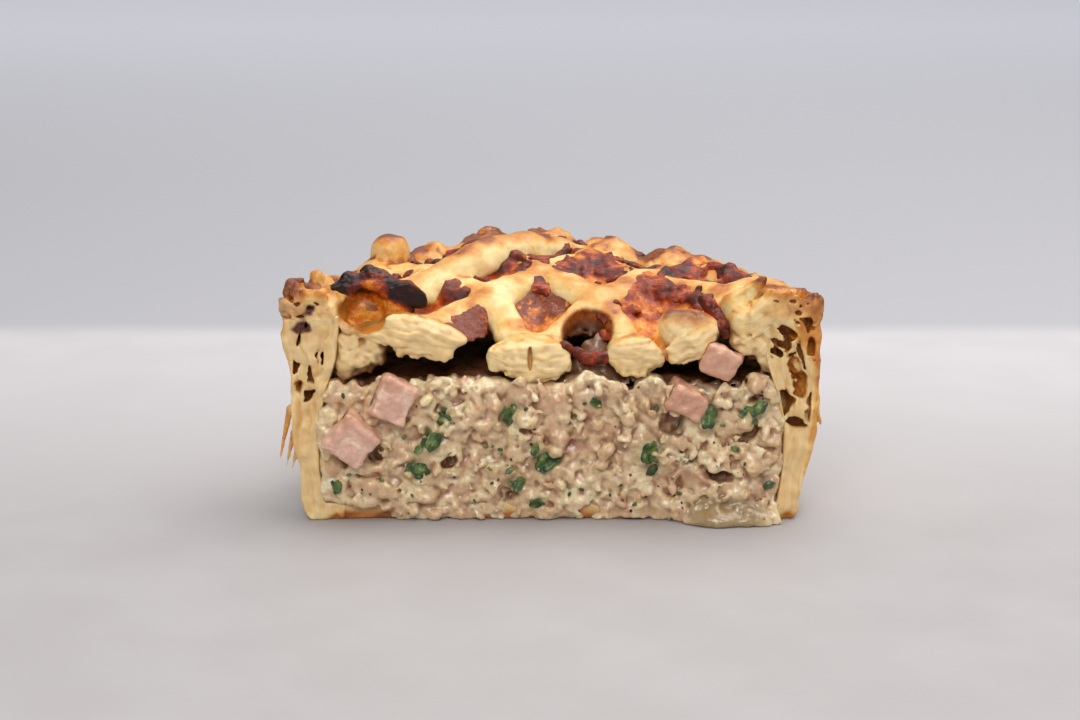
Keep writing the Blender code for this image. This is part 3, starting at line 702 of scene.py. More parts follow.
def lid_tones(points, quads):
    """How browned, how amber and how freshly cut each point of the lid is, and what else the
    pastry's material asks for."""
    x, y, z = points.T
    facing = slopes(points, quads)
    hollow = hollows(points, quads, facing, 8)
    strips, _ = strip_distance(x, y)
    sheet = drape(x, y)
    height = (z - sheet) / (half_thickness(x, y) * STRIP_RADIUS)
    flank = smooth(strips / strip_radius(x, y), 0.62, 0.98)
    flank *= smooth(-height, -0.45, 0.25) * smooth(y, 1.5, 4.0)
    amber = flank * (0.5 + 0.5 * smooth(noise(x, y, z, 4, 23), -0.3, 0.4))
    pane = smooth(-egg(x, y, z, *WINDOW), -0.9, 0.1) * smooth(y, 2.0, 4.0)
    under = smooth(-height, 0.2, 0.7) * smooth(y, 1.0, 4.0) * smooth(strips, 5, 3)
    amber = np.maximum(np.maximum(amber, 1.5 * pane), 0.6 * under)
    cut = smooth(-facing[:, 1], 0.15, 0.7) * smooth(y, 3.2, 1.8) * smooth(z, 46.5, 45)
    cut *= (1 - 0.75 * smooth(x, 47.0, 51.0)) * (1 - 0.6 * corner_crumbs(x, y, z))
    cut *= 1 - 0.9 * hill(x, z, 28.5, 42.0, 7.0, 3.4)
    # Painted shade, with some real wet browning: the lid's underside behind the cut is darkened
    # where it lies over the filling.
    deep = smooth(y, 1.2, 3.2) * smooth(-z, -sheet - 0.6, -sheet + 1.5)
    deep *= smooth(np.hypot(x, y), 46, 43)
    spots = hill(x, z, -49.4, 40.2, 2.0, 2.2) + hill(x, z, -48.0, 43.6, 1.1, 1.2)
    # The bubble's hollow and the air pockets behind the rim's cut ends take gel: partly real glaze,
    # partly painted shade in the recesses.
    bubble = smooth(-bubble_field(x, y, z), -1.4, 0.1)
    within = smooth(-rim_field(x, y, z), 0.6, 1.4) * smooth(y - wall_edge(x, z), 0.5, 1.5)
    bubble = np.maximum(bubble, 0.8 * within * smooth(y, 6, 4) * smooth(np.abs(x), 42, 44))
    return {
        "brown": lid_browning_and_shade(x, y, z, facing[:, 2], height, hollow),
        "amber": amber * (1 - bubble),
        "cut": cut * (1 - bubble),
        "deep": deep * (1 - bubble),
        "char": scorched(spots, x, y, z),
        "clear": bubble,
        # hollow: painted shade in the lid's hollows, where the crumb is darkened.
        "hollow": smooth(hollow, 0.0, 0.3),
        "layer": lid_layers(x, y, z),
    }


# ---------------------------------------------------------------- the case

# Thin shards of pastry that hang from the wall's cut ends: root, point and width.
SHARDS = [
    ((-52.6, 1.5, 23.0), (-55.3, 1.2, 10.9), 0.75),
    ((-52.0, 1.6, 18.0), (-53.8, 1.6, 10.4), 0.65),
    ((-51.4, 1.8, 14.5), (-52.8, 2.0, 9.4), 0.6),
    ((53.6, 2.0, 23.0), (55.0, 1.6, 18.0), 0.6),
]


def case_parts():
    """The cells of the crust's two cut ends, of its front edge between them, and of the rest."""
    for ends in ((-56.2, -41.5), (41.5, 56.2)):
        yield axis((*ends, 0.28)), axis((-1.9, 6.6, 0.32)), axis((-0.5, 43.0, 0.33))
    yield axis((-42.5, 42.5, 0.9)), axis((-0.6, 6.6, 0.5)), axis((-0.5, 4.6, 0.4))
    yield axis((-56.2, 56.2, 0.85)), axis((4.8, 56.0, 0.85)), axis((-0.5, 43.0, 0.75))


# Groups of air pockets in the two cut ends: middle and reach along X and Z, the size of one
# pocket, the lean in degrees, how deep they are and what share of them is open.
COMBS = [
    ((48.6, 28.4), (4.6, 9.6), (3.9, 7.2), -12, 5.0, 1.0),
    ((45.2, 37.0), (4.8, 3.6), (3.6, 2.8), 14, 4.0, 1.0),
    ((51.6, 37.4), (2.2, 4.6), (1.9, 4.2), -4, 3.0, 0.8),
    ((47.8, 42.4), (6.6, 3.4), (2.2, 1.3), 12, 1.2, 0.55),
    ((-48.6, 33.0), (3.0, 8.6), (2.4, 5.6), 7, 4.0, 0.85),
    ((-46.4, 38.4), (4.2, 2.6), (3.8, 2.0), -30, 2.4, 0.5),
    ((-48.8, 43.0), (4.4, 2.6), (2.0, 1.2), -12, 1.2, 0.45),
]


def comb_field(x, y, z):
    """The field of the air pockets: cells with thin walls between them."""
    total = np.full(np.broadcast(x, y, z).shape, 9.0, np.float32)
    across = wall_share(x, y, z)
    for seed, (middle, reach, cell, lean, depth, share) in enumerate(COMBS):
        east, north = math.cos(math.radians(lean)), math.sin(math.radians(lean))
        dx, dz = x - middle[0], z - middle[1]
        u, v = dx * east - dz * north, dz * east + dx * north
        bend = 0.34 * noise(x, y, z, 3.4, 105 + seed) + 0.16 * noise(x, y, z, 1.3, 115 + seed)
        places = u / cell[0] + bend, y / 9.0, v / cell[1] + 0.5 * bend
        _, border, which = chunks(*places, 1.0, 20 + seed)
        membrane = 0.3 - 0.7 * border * min(cell)
        edge = (np.sqrt((u / reach[0]) ** 2 + (v / reach[1]) ** 2) - 1) * min(reach)
        edge = np.maximum(edge, 8.0 * np.maximum(across - 0.86, 0.08 - across))
        pocket = np.maximum(np.maximum(membrane, edge), y - depth * (0.6 + 0.8 * which))
        total = np.minimum(total, np.where(which > share, 9.0, pocket))
    return total


def wall_share(x, y, z):
    """Where a place is across the thickness of the wall: 0 inside and 1 outside."""
    inner, outer = inside_radius(z), outside_radius(z)
    return (np.hypot(x, y) - inner) / (outer - inner)


def wall_bulge(x, y, z):
    """How far the outer face of the wall stands out: two broad swellings, a dent and blisters."""
    right = 1.5 * hill(x, z, 52, 17, 14, 11) + 0.5 * hill(x, z, 54, 34, 10, 8)
    left = -0.9 * hill(x, z, -53, 31, 10, 5)
    blister = noise(x, y, z, 9, 31) + 0.5 * noise(x, y, z, 4, 32)
    return right + left + 0.8 * blister - 0.6


def open_pockets(field, axes):
    """Opens the air pockets that the cut went through."""
    for side in (-49.0, 49.0):
        reaches = ((side, 7.0), (2.0, 6.5), (33.0, 14.0))
        spot = tuple(near([a], [c], r)[0] for a, (c, r) in zip(axes, reaches))
        x, y, z = grid(axes, spot, sparse=True)
        if x.size and z.size:
            field[spot] = np.maximum(field[spot], -comb_field(x, y, z))


def wall_layers(x, y, z):
    """A count of the sheets of dough across the thickness of the wall."""
    sheets = np.where(np.asarray(x) < 0, 3.3, 5.2) * wall_share(x, y, z)
    return sheets + 0.8 * noise(0.4 * x, 0 * x, z, 7, 35) + 0.3 * noise(x, 0 * x, z, 2.8, 36)


def wall_edge(x, z):
    """Where the torn cut of the wall stands: soft sheets of dough, set back where they part."""
    sheets = wall_layers(x, 0 * x, z)
    layer = np.floor(sheets)
    fold = 1 - np.abs(2 * (sheets - layer) - 1)
    upper = smooth(z, 14, 26)
    own = (0.2 + 0.35 * upper) * noise(5.3 * layer, 0 * x, z, 6, 37)
    own = own + 0.15 * noise(x, 3.7 * layer, z, 1.6, 38)
    puffed = 0.7 * noise(x, 0 * x, z, 4.2, 40) + 0.28 * noise(x, 0 * x, z, 1.7, 47)
    return own + 0.3 * upper * (1 - fold) ** 3 + puffed - 0.3


def wall_relief(x, y, z):
    """How far the outer face of the wall stands out, less its fine flakes."""
    flaky = 0.3 * np.abs(noise(x, y, z * 0.35, 1.7, 33)) + 0.12 * noise(x, y, z, 0.9, 34)
    return (wall_bulge(x, y, z) * smooth(z, 0.3, 3.0) - flaky) * (np.hypot(x, y) > 48)


def add_shards(field, axes):
    """Blends the shards of pastry into the case's field."""
    for root, tip, width in SHARDS:
        spot = near(axes, root, 16)
        x, y, z = grid(axes, spot)
        if x.size:
            shard = spike(x, y, z, root, tip, width) + 0.15 * noise(x, y, z, 1.2, 42)
            field[spot] = blend(field[spot], shard, 0.5)


def case_field(axes):
    """Base and wall in one solid, with the sheets, air pockets and shards of its cut ends."""
    x, y, z = grid(axes, sparse=True)
    front = axes[1][0] < 0
    radius = np.hypot(x, y)
    hollow = np.maximum(radius - inside_radius(z), BASE_THICKNESS - z)
    top = CASE_HEIGHT + 2.2
    block = np.maximum(np.maximum(radius - outside_radius(z), z - top), -z)
    field = np.maximum(block, -hollow)
    close = np.broadcast_to((radius > 41) | (z < 6), field.shape) & (np.abs(field) < 3.0)
    field[close] -= wall_relief(*picked(close, x, y, z))
    if front:
        ends = smooth(np.abs(x), 40.0, 44.0)
        base_edge = 0.4 + 0.5 * noise(x, 0 * y + 1.3, z, 3.0, 44)
        field = carve(field, y - (base_edge * (1 - ends) + wall_edge(x, z) * ends), 0.4)
        open_pockets(field, axes)
        add_shards(field, axes)
    field = tuck(np.maximum(field, -z), y, 5.7, 6.6 if front else 4.8)
    middle = axes[0][0] > -43 and axes[0][-1] < 43
    return tuck(field, np.abs(x), 42.0, 42.5 if middle else 41.5)


def case():
    """The crust's mesh."""
    points, quads = grown(case_parts(), case_field, 300)
    return mesh_object("crust", points, quads, pastry_look(), case_tones(points, quads))


def case_tones(points, quads):
    """The tones of the pastry's material at each point of the crust: browned outside, cut and
    layered at the front, with clear gel in the air pockets that is partly painted shade in those
    recesses, and painted shade in its hollows."""
    x, y, z = points.T
    facing = slopes(points, quads)
    hollow = hollows(points, quads, facing, 8)
    share = wall_share(x, y, z)
    crusty = smooth(x, 40, 46) * (0.02 + 0.36 * smooth(z, 30, 39))
    outer = smooth(share + crusty + 0.07 * noise(x, y, z, 3, 45), 0.84, 1.0)
    cut = smooth(y, 5.0, 3.0) * smooth(-facing[:, 1], -0.2, 0.3) * (1 - outer)
    # Partly real gel and partly painted shade: the crust set back behind its cut, in the air
    # pockets, takes dark amber gel.
    deep = smooth(y - wall_edge(x, z), 0.5, 1.5) * smooth(y, 6, 5) * smooth(share, 0.05, 0.12)
    deep *= smooth(share, 0.95, 0.85) * smooth(np.abs(x), 41, 43)
    outward = (facing[:, 0] * x + facing[:, 1] * y) / np.hypot(x, y)
    deep *= 1 - smooth(outward, 0.2, 0.6) * smooth(share, 0.55, 0.75)
    brown = smooth(share + crusty, 0.8, 1.0) * (0.4 + 0.2 * smooth(z, 6, 36))
    brown *= 0.85 + 0.35 * noise(x, y, z, 7, 43) + 0.2 * noise(x, y, z, 2.4, 48)
    brown += 0.25 * smooth(z, 34, 40) * outer + 0.2 * smooth(z, 5, 1) * outer
    below = smooth(z, 3.6, 1.2) * smooth(y, -0.6, 0.2)
    # The baked bottom edge is real browning; the extra browning in the crust's hollows is painted
    # shade.
    brown = np.maximum(brown, 0.75 * below) + 0.35 * smooth(hollow, 0.03, 0.25)
    folds = smooth(noise(1.6 * x, y, 0.4 * z, 2.6, 49), 0.05, 0.5) * smooth(z, 8, 20)
    cut = np.maximum(cut, smooth(-facing[:, 1], 0.1, 0.6) * smooth(y, 3, 2) * (1 - outer))
    return {
        "brown": brown,
        "amber": 0 * x,
        "cut": cut * smooth(z + 0.6 * noise(x, y, z, 2.5, 46), 0.8, 2.6),
        "deep": 0 * x,
        "char": scorched(hill(x, z, -49.4, 40.2, 2.0, 2.2), x, y, z),
        "clear": deep,
        # hollow: painted shade in the crust's hollows, with darker streaks along its folds and a
        # flat darkening of all its crumb.
        "hollow": np.maximum(smooth(hollow, 0.0, 0.3), 0.3 + 0.5 * folds),
        "layer": wall_layers(x, y, z) * 1.4,
    }


# ---------------------------------------------------------------- the filling

# Places where a lump of meat has come away from the cut face: middle along X and Z, half width,
# half height and lean.
TORN = [
    (-36.0, 14.4, 2.0, 3.2, -20),
    (-41.6, 13.2, 2.2, 2.4, 30),
    (24.6, 20.6, 2.6, 2.4, 0),
    (34.0, 9.6, 2.6, 1.2, 10),
    (40.0, 18.0, 2.6, 1.0, -30),
    (41.2, 25.0, 1.6, 1.0, 0),
    (-8.0, 5.0, 2.0, 1.2, 0),
    (8.0, 2.0, 3.0, 1.4, 0),
    (-37.0, 1.2, 5.5, 1.3, 0),
    (-20.6, 12.2, 1.4, 1.6, 0),
]
# The dice of ham: node, middle, size and turn.
HAM_DICE = [
    ("ham_1", (-39.8, -1.0, 17.6), (8.6, 9.0, 8.4), (6, 41, 4)),
    ("ham_2", (-31.8, -0.6, 25.2), (7.8, 8.6, 8.8), (-6, 24, 8)),
    ("ham_3", (27.2, -0.6, 25.4), (8.2, 8.0, 5.4), (6, 26, 6)),
    ("ham_4", (34.0, 1.6, 32.6), (7.4, 7.0, 6.2), (0, 24, -4)),
]
POOL = (35.5, 2.2, 9.0, 3.6)  # the cream that has run out: middle and reach along X and Z
RIDGE_RISE = 4.2


def crag(x, z):
    """How far the cut meat stands out at a place of the cut face: soft clumps."""
    return 1.7 * noise(x, 0 * x + 3.1, z, 9.5, 51) + 1.1 * noise(x, 0 * x + 1.7, z, 5.0, 52)


def face_reach(side, z):
    """How far the cut face reaches to a side. Low down on the left it stops on the base."""
    low = np.where(side < 0, 38 + 0.9 * z, 44.5 + 0.5 * z)
    return np.minimum(low, inside_radius(z) - 0.3)


def ridge(x):
    """Where the cut face rises under the window in the lid."""
    return hill(x, 0, 7.6, 0, 3.4, 1)


def face_level(x):
    """The height of the top of the cut face, which stands up as a ridge against the lid."""
    large = noise(x, 0 * x + 1.9, 0 * x + 1.1, 4.6, 59)
    small = noise(x, 0 * x + 0.8, 0 * x + 0.5, 2.0, 60)
    rises = [0.9 * hill(x, 0, -5, 0, 8, 1), RIDGE_RISE * ridge(x), -1.4 * hill(x, 0, 31, 0, 8, 1)]
    return 29.2 + (1.9 * large + 1.1 * small) + sum(rises)


def face_front(x, z):
    """How far the middle of the cut face stands out from the cut."""
    ooze = 3.4 * hill(x, z, 36, 0, 9, 5)
    edge = np.clip(1 - np.abs(x) / face_reach(x, z), 0, 1)
    fade = np.minimum(1, edge * 9 + 0.15)
    return np.maximum(BULGE + ooze + crag(x, z) * fade - 0.3, 0.6)


def grains():
    """Lumps of meat that stand out of the cut face: place, radii and turn."""
    rng = np.random.default_rng(5)
    found = []
    for count, small, large in ((90, 1.4, 2.6), (260, 0.7, 1.4), (420, 0.4, 0.7)):
        for _ in range(count):
            size = rng.uniform(small, large)
            x, z, sunk = rng.uniform(-46.5, 46.5), rng.uniform(0.4, 29.5), rng.uniform(0.2, 0.9)
            radii, lean = size * rng.uniform(0.7, 1.25, 3), rng.uniform(0, 180, 3)
            here = np.float32(x), np.float32(z)
            within = abs(x) < face_reach(*here) - 0.7 * size
            if within and z < float(face_level(here[0])) - 0.2 * size:
                y = sunk * size - float(face_front(*here))
                found.append(((x, y, z), radii, lean))
                rng.random()  # keeps the later draws as they are
    return found


def filling_parts():
    """The cells of the cut face, which are fine, and of the meat behind it."""
    yield axis((-47.6, 47.6, 0.35)), axis((-8.0, 3.4, 0.35)), axis((-0.4, 34.5, 0.35))
    across = (-47.6, 2.0, 1.0), (2.0, 19.0, 0.5), (19.0, 47.6, 1.0)
    yield axis(*across), axis((1.6, 14.0, 0.6), (14.0, 48.0, 1.2)), axis((2.0, 42.0, 0.55))


def meat_chunks(x, y, z):
    """Where the minced meat parts into soft lumps: three sizes of them, and a number for each."""
    warp_x = x + 1.1 * noise(x, y, z, 3.2, 101) + 0.3 * noise(x, y, z, 0.9, 103)
    warp_z = z + 1.1 * noise(x, y, z, 3.2, 102) + 0.3 * noise(x, y, z, 0.9, 104)
    large = chunks(warp_x, y, warp_z, 6.2, 1)
    middle = chunks(warp_x, y, warp_z, 2.5, 2)
    small = chunks(warp_x, y, warp_z, 1.25, 3)
    return large, middle, small


def meat_relief(x, y, z):
    """How far the soft lumps of minced meat stand out."""
    large, middle, small = meat_chunks(x, y, z)
    relief = 0.7 * smooth(large[1], -0.05, 0.35) * (0.4 + large[2]) - 0.5
    relief += 0.75 * (0.5 - middle[0]) * (0.3 + middle[2])
    relief += 0.4 * (0.5 - small[0]) * (0.4 + small[2])
    return relief + 0.4 * noise(x, y, z, 1.9, 54) + 0.14 * noise(x, y, z, 0.8, 55)


def in_pool(x, z):
    """Above 0 inside the patch of the cut face that the cream has run over."""
    return 1 - ((x - POOL[0]) / POOL[2]) ** 2 - ((z - POOL[1]) / POOL[3]) ** 2


def add_grains(field, axes):
    """Blends the lumps of meat into the filling's field."""
    for place, radii, rotation in grains():
        spot = near(axes, place, max(radii) + 0.8)
        x, y, z = grid(axes, spot)
        if x.size:
            field[spot] = blend(field[spot], egg(x, y, z, place, radii, rotation), 0.5)


def tear_face(field, axes):
    """Opens the places where a lump of meat has come away."""
    for hole_x, hole_z, wide, tall, lean in TORN:
        spot = near(axes, (hole_x, 0, hole_z), max(wide, tall) + 3)
        spot = (spot[0], slice(0, int(np.searchsorted(axes[1], 3.0))), spot[2])
        x, y, z = grid(axes, spot)
        pit = egg(x, y, z, (hole_x, -2.2, hole_z), (wide, 4.4, tall), (0, lean, 0))
        field[spot] = carve(field[spot], pit + 0.5 * noise(x, y, z, 1.8, 53), 0.6)


def open_nests(field, axes):
    """Makes room in the meat for the dice of ham."""
    for _, centre, size, rotation in HAM_DICE:
        spot = near(axes, centre, 9)
        nest = brick(*grid(axes, spot), centre, [s - 0.5 for s in size], rotation)
        field[spot] = np.maximum(field[spot], -nest)


def filling_field(axes):
    """The sausage meat: a core inside the case, and crumbly meat that bulges past the cut."""
    x, y, z = grid(axes, sparse=True)
    level = filling_level(x, y)
    side = np.hypot(x, np.maximum(y, 0)) - inside_radius(z) - 0.15
    core = np.maximum(np.maximum(side, z - level), np.maximum(BASE_THICKNESS + 0.1 - z, -0.4 - y))
    if axes[1][0] > 0:
        close = (np.abs(z - level) < 2.0) & np.broadcast_to(y < 16, core.shape)
        core = np.array(core)
        core[close] -= meat_relief(*picked(close, x, y, z))
        return tuck(core, y, 2.5, 1.6)
    face_x, face_z = np.broadcast_arrays(x[:, 0, :], z[:, 0, :])
    front = (0.5 - face_front(face_x, face_z))[:, None, :]
    over = (np.abs(face_x) - face_reach(face_x, face_z))[:, None, :]
    top = np.minimum(face_level(x), drape(x, y) - 4.0 + 2.5 * ridge(x))
    ends = np.maximum(z - top, np.maximum(0.05 - z, y - 3.3))
    slab = np.maximum(np.maximum(front - y, over), ends)
    field = np.minimum(np.maximum(core, z - top), slab).astype(np.float32)
    add_grains(field, axes)
    tear_face(field, axes)
    close = np.abs(field) < 1.8
    px, py, pz = picked(close, x, y, z)
    field[close] -= meat_relief(px, py, pz) * (1 - 0.7 * smooth(in_pool(px, pz), 0, 0.5))
    pool = egg(x, y, z, (POOL[0], -1.6, 0.9), (9.0, 4.6, 1.7)) - 0.9 * noise(x, y, 0 * z, 3.8, 58)
    field = blend(field, pool - 0.25 * noise(x, y, z, 1.4, 61), 2.2)
    open_nests(field, axes)
    return tuck(np.maximum(field, 0.05 - z), y, 2.6, 3.4)


def filling():
    """The sausage meat's mesh."""
    points, quads = grown(filling_parts(), filling_field, 300)
    return mesh_object("sausage_meat", points, quads, meat_look(), filling_tones(points, quads))


def filling_tones(points, quads):
    """The tint of each lump, and how hollow, how browned and how wet each point is. Hollows and
    pits get painted shade, and the top under the lid is browned with painted shade added.
    """
    x, y, z = points.T
    large, middle, small = meat_chunks(x, y, z)
    facing = slopes(points, quads)
    near_by, wide = hollows(points, quads, facing, 8), hollows(points, quads, facing, 40)
    out = -y - face_front(x, z)
    # Painted shade: the meat set back in the torn pits behind the face is darkened.
    pit = smooth(-out, 0.9, 2.6) * smooth(y, 3, 0)
    # The top of the filling under the lid: real browning, with painted shade added where the lid
    # covers it.
    top = smooth(y, 0.4, 2.4) * smooth(z, 24, 26.5) * (1 - 0.1 * hill(x, y, 9, 8, 6, 6))
    pool = smooth(in_pool(x, z), -0.3, 0.6)
    leaves = np.array([(a, b) for a, b, length, _ in PARSLEY if length > 4])
    apart = np.min([np.hypot(x - a, z - b) for a, b in leaves], axis=0)
    red = hill(x, z, 4.4, 16.0, 2.2, 2.0) + 0.7 * hill(x, z, 28.0, 9.5, 5.0, 1.6)
    return {
        "tint": 0.1 + 0.24 * large[2] + 0.3 * middle[2] + 0.28 * small[2],
        "pit": pit,
        # hollow: painted shade in the crevices between the lumps.
        "hollow": smooth(near_by, 0.0, 0.22) * 0.4 + smooth(wide, 0.1, 0.8) * 0.65,
        "browned": top,
        "pool": pool * smooth(-y, 0, 1),
        "leafy": smooth(apart, 4.5, 1.5) * smooth(y, 1, -1),
        "red": red,
    }


# ---------------------------------------------------------------- ham


def ham(number, centre, size, rotation):
    """One dice of ham: soft edges, a little out of square, with the grain of the meat."""
    axes = [np.arange(c - 8, c + 8, 0.3 * COARSE, dtype=np.float32) for c in centre]
    x, y, z = grid(axes)
    skew = 1.1 * noise(x, y, z, 6.0, 60 + number)
    field = brick(x, y, z, centre, [s - 0.1 for s in size], rotation, 1.0) + 0.6 * skew
    field += 0.45 * noise(x, y, z, 2.6, 64 + number) + 0.2 * noise(x, y, z, 1.1, 68)
    points, quads = keep_bodies(*skin(field, axes), 200)
    shade = smooth(points[:, 2] - centre[2], 1.0, size[2] / 2 + 1)
    shade = np.maximum(shade, 0.9 if number > 2 else 0.0)
    return mesh_object(f"ham_dice_{number}", points, quads, ham_look(), {"crown": shade})


# ---------------------------------------------------------------- cheese in the lattice

# The column and row of each diamond that cheese fills, how high it stands, how far the burnt
# crest along its back comes forward, and how dark the rest is.
CHEESE = [
    ((2, 3), 0.2, 0.25, 0.15),
    ((4, 1), 1.8, 0.10, 0.55),
    ((3, 2), 0.9, 0.60, 0.35),
    ((5, 2), 0.2, 0.15, 0.24),
    ((7, 2), 0.5, 0.50, 0.16),
    ((4, 3), 2.1, 0.95, 0.10),
    ((6, 3), 1.9, 0.70, 0.16),
    ((8, 3), 2.0, 0.95, 0.10),
    ((5, 4), 1.0, 0.80, 0.22),
    ((3, 4), 0.4, 0.55, 0.28),
    ((7, 4), 0.4, 0.55, 0.28),
]
LUMPY = ((4, 1), (5, 2))  # the two slabs at the cut, where meat shows through the cheese

# The burnt arch over the bubble at the left, and the hollow bowl of cheese under it.
ARCH = [
    (-46.2, 4.6, 44.2),
    (-43.4, 6.6, 45.8),
    (-40.6, 8.0, 47.6),
    (-36.8, 9.6, 48.4),
    (-33.2, 8.8, 47.2),
    (-30.0, 7.4, 46.2),
    (-26.6, 6.4, 44.0),
]
BOWL = ((-37.0, 8.8, 42.0), (9.4, 6.2, 6.6))

# Burnt cheese that hangs on the cut edge of the lattice: its two ends and its thickness.
SCRAPS = [
    ((2.8, 1.8, 35.8), (6.6, 1.8, 33.6), 1.2),
    ((12.0, 2.0, 33.6), (6.6, 1.6, 33.4), 1.3),
    ((31.4, 6.0, 44.0), (34.6, 3.4, 39.4), 1.5),
    ((35.2, 2.6, 37.4), (33.4, 4.4, 41.6), 1.2),
]


def crust_band(x, y, z, corners, crest, number):
    """The burnt band where the cheese caught on the two strips behind it."""
    _, right, back, left = corners
    reach = np.minimum(segment_distance(x, y, right, back), segment_distance(x, y, back, left))
    wander = noise(x, y, z, 4.5, 71 + number)
    thick = crest * (1.5 + 1.5 * wander)
    path = reach - 4.4 - 0.9 * noise(x, y, 0 * z, 4.0, 90 + number)
    rise = z - drape(x, y) - 1.5 + 0.45 * (reach - 4.4)
    return np.sqrt((0.5 * path) ** 2 + 1.3 * rise**2) - thick


def scraps():
    """Burnt cheese that hangs on the cut edge of the lattice."""
    parts = []
    for one, other, thick in SCRAPS:
        low, high = np.minimum(one, other) - thick - 1.4, np.maximum(one, other) + thick + 1.4
        axes = [np.arange(a, b, 0.3 * COARSE, dtype=np.float32) for a, b in zip(low, high)]
        x, y, z = grid(axes)
        field = rod(x, y, z, one, other, thick) - crisp(x, y, z)
        parts.append(keep_bodies(*skin(field, axes), 100))
    points, quads = join(parts)
    burn = 0.6 + 0.3 * noise(*points.T, 2.0, 77)
    tones = {"burn": burn, "slab": 0 * burn}
    return mesh_object("cheese_scraps", points, quads, cheese_look(), tones)


def crisp(x, y, z):
    """How far burnt cheese stands out: brittle wrinkled lumps."""
    middle, border, which = chunks(x, y, z, 2.6, 4)
    lumps = 0.35 * (0.5 - middle) * (0.5 + which) + 0.12 * (smooth(border, 0.0, 0.35) - 0.6)
    wrinkles = np.clip(1 - 5 * np.abs(noise(x, y, z, 3.0, 72)), 0, 1)
    return lumps + 0.85 * noise(x, y, z, 3.6, 75) - 0.22 * wrinkles + 0.15 * noise(x, y, z, 1.0, 70)


def fill_field(x, y, z, place, corners, middle, height):
    """The plain fill of one diamond: a shallow bowl that rises to the strips round it."""
    edges = []
    for one, other in zip(corners, corners[1:] + corners[:1]):
        dx, dy = other - one
        edges.append((dx * (y - one[1]) - dy * (x - one[0])) / math.hypot(dx, dy))
    inside = np.minimum.reduce(edges)
    bowl = height + 0.6 - 2.0 * smooth(inside, 2.0, 7.0) + 0.4 * noise(x, y, 0 * x, 3.1, 74)
    slope = 0.5 if place == (5, 2) else (1.5 if place[1] > 1 else 0.0)
    bowl = bowl + slope * (y - middle[1]) / 8.0
    sheet = drape(x, y)
    field = np.maximum(z - (sheet + bowl)[:, :, None], (sheet + height - 3.6)[:, :, None] - z)
    return np.maximum(field, ((2.2 if place == (5, 2) else 0.8) - inside)[:, :, None])


def trimmed(field, x, y, z, place):
    """Keeps the cheese of the front diamonds clear of the cut, the ham and each other."""
    if place[1] == 1 or place == (7, 2):
        field = np.maximum(field, 1.0 - y)
    if place[1] == 1:
        field = np.maximum(field, x + 13.2 + 0.4 * noise(x, 0 * x, z, 2, 82))
        field = np.maximum(field, 36.6 + 0.5 * noise(x, 0 * x, 0 * z, 2, 83) - z)
    if place == (3, 2):
        field = np.maximum(field, -33.0 - x)
    return within_box(np.maximum(field, np.hypot(x, y) - RIM_MIDDLE - 1), x, y, z)


def cheese(number, place, height, crest, dark):
    """Cheese that has bubbled up in one diamond and burnt where it caught on the strips."""
    column, row = place
    steps = ((0, -1), (1, 0), (0, 1), (-1, 0))
    corners = [crossing(column + across, row + along) for across, along in steps]
    front, right, back, left = corners
    middle = (left + right + front + back) / 4
    level = float(drape(np.float32(middle[0]), np.float32(middle[1])))
    reaches = ((middle[0], 13.5), (middle[1] - (3 if number == 1 else 0), 15.5), (level + 1, 8.0))
    axes = [np.arange(c - r, c + r, 0.38 * COARSE, dtype=np.float32) for c, r in reaches]
    x, y, z = grid(axes, sparse=True)
    full = grid(axes)
    flat = np.broadcast_arrays(x[:, :, 0], y[:, :, 0])
    field = fill_field(*flat, z, place, corners, middle, height)
    band = np.full(field.shape, 9.0, np.float32)
    if crest > 0.2:
        band = crust_band(*full, corners, crest, number)
    if number == 1:
        for one, other in zip(ARCH, ARCH[1:]):
            band = blend(band, rod(*full, one, other, 1.9), 0.8)
        bowl = carve(egg(*full, *BOWL), bubble_field(*full), 1.0)
        field = blend(field, np.maximum(bowl, 1.6 - y), 0.8)
    close = np.abs(band) < 2.2
    band[close] -= crisp(*picked(close, *full))
    field = trimmed(blend(field, band, 0.6), x, y, z, place)
    field -= 0.08 * noise(*full, 1.5, 76)
    close = np.abs(field) < 1.5
    spots = picked(close, *full)
    field[close] -= 0.7 * crisp(*spots) if place in LUMPY else 0.4 * noise(*spots, 2.6, 78)
    points, quads = keep_bodies(*skin(field, axes), 100)
    cells = [np.clip(np.searchsorted(a, p), 0, len(a) - 1) for a, p in zip(axes, points.T)]
    caught = band[tuple(cells)]
    slab = np.full(len(points), float(place in LUMPY))
    if place in LUMPY and row == 2:
        slab = smooth(points[:, 1] - middle[1], -3.4, -1.0)
    tones = {"burn": burning(points, caught, number, crest, dark), "slab": slab}
    return mesh_object(f"cheese_{number}", points, quads, cheese_look(), tones)


def burning(points, caught, number, crest, dark):
    """How burnt each point is; caught is its distance from the burnt band."""
    x, y, z = points.T
    near_band = smooth(caught, 1.7, -0.5)
    high = smooth(z - drape(x, y), -0.5, 3.0)
    burn = (0.36 + 0.2 * crest + 0.25 * high) * near_band + dark * (1 - near_band)
    burn += 0.3 * noise(x, y, z, 3.6, 77) * (0.4 + 0.6 * near_band)
    if number > 4:
        burn += 0.22 * smooth(noise(x, y, z, 5.0, 79), 0.1, 0.5)
    if number == 1:
        burn += 0.5 * smooth(caught, 1.0, -0.5)
    return burn


# ---------------------------------------------------------------- parsley and pepper

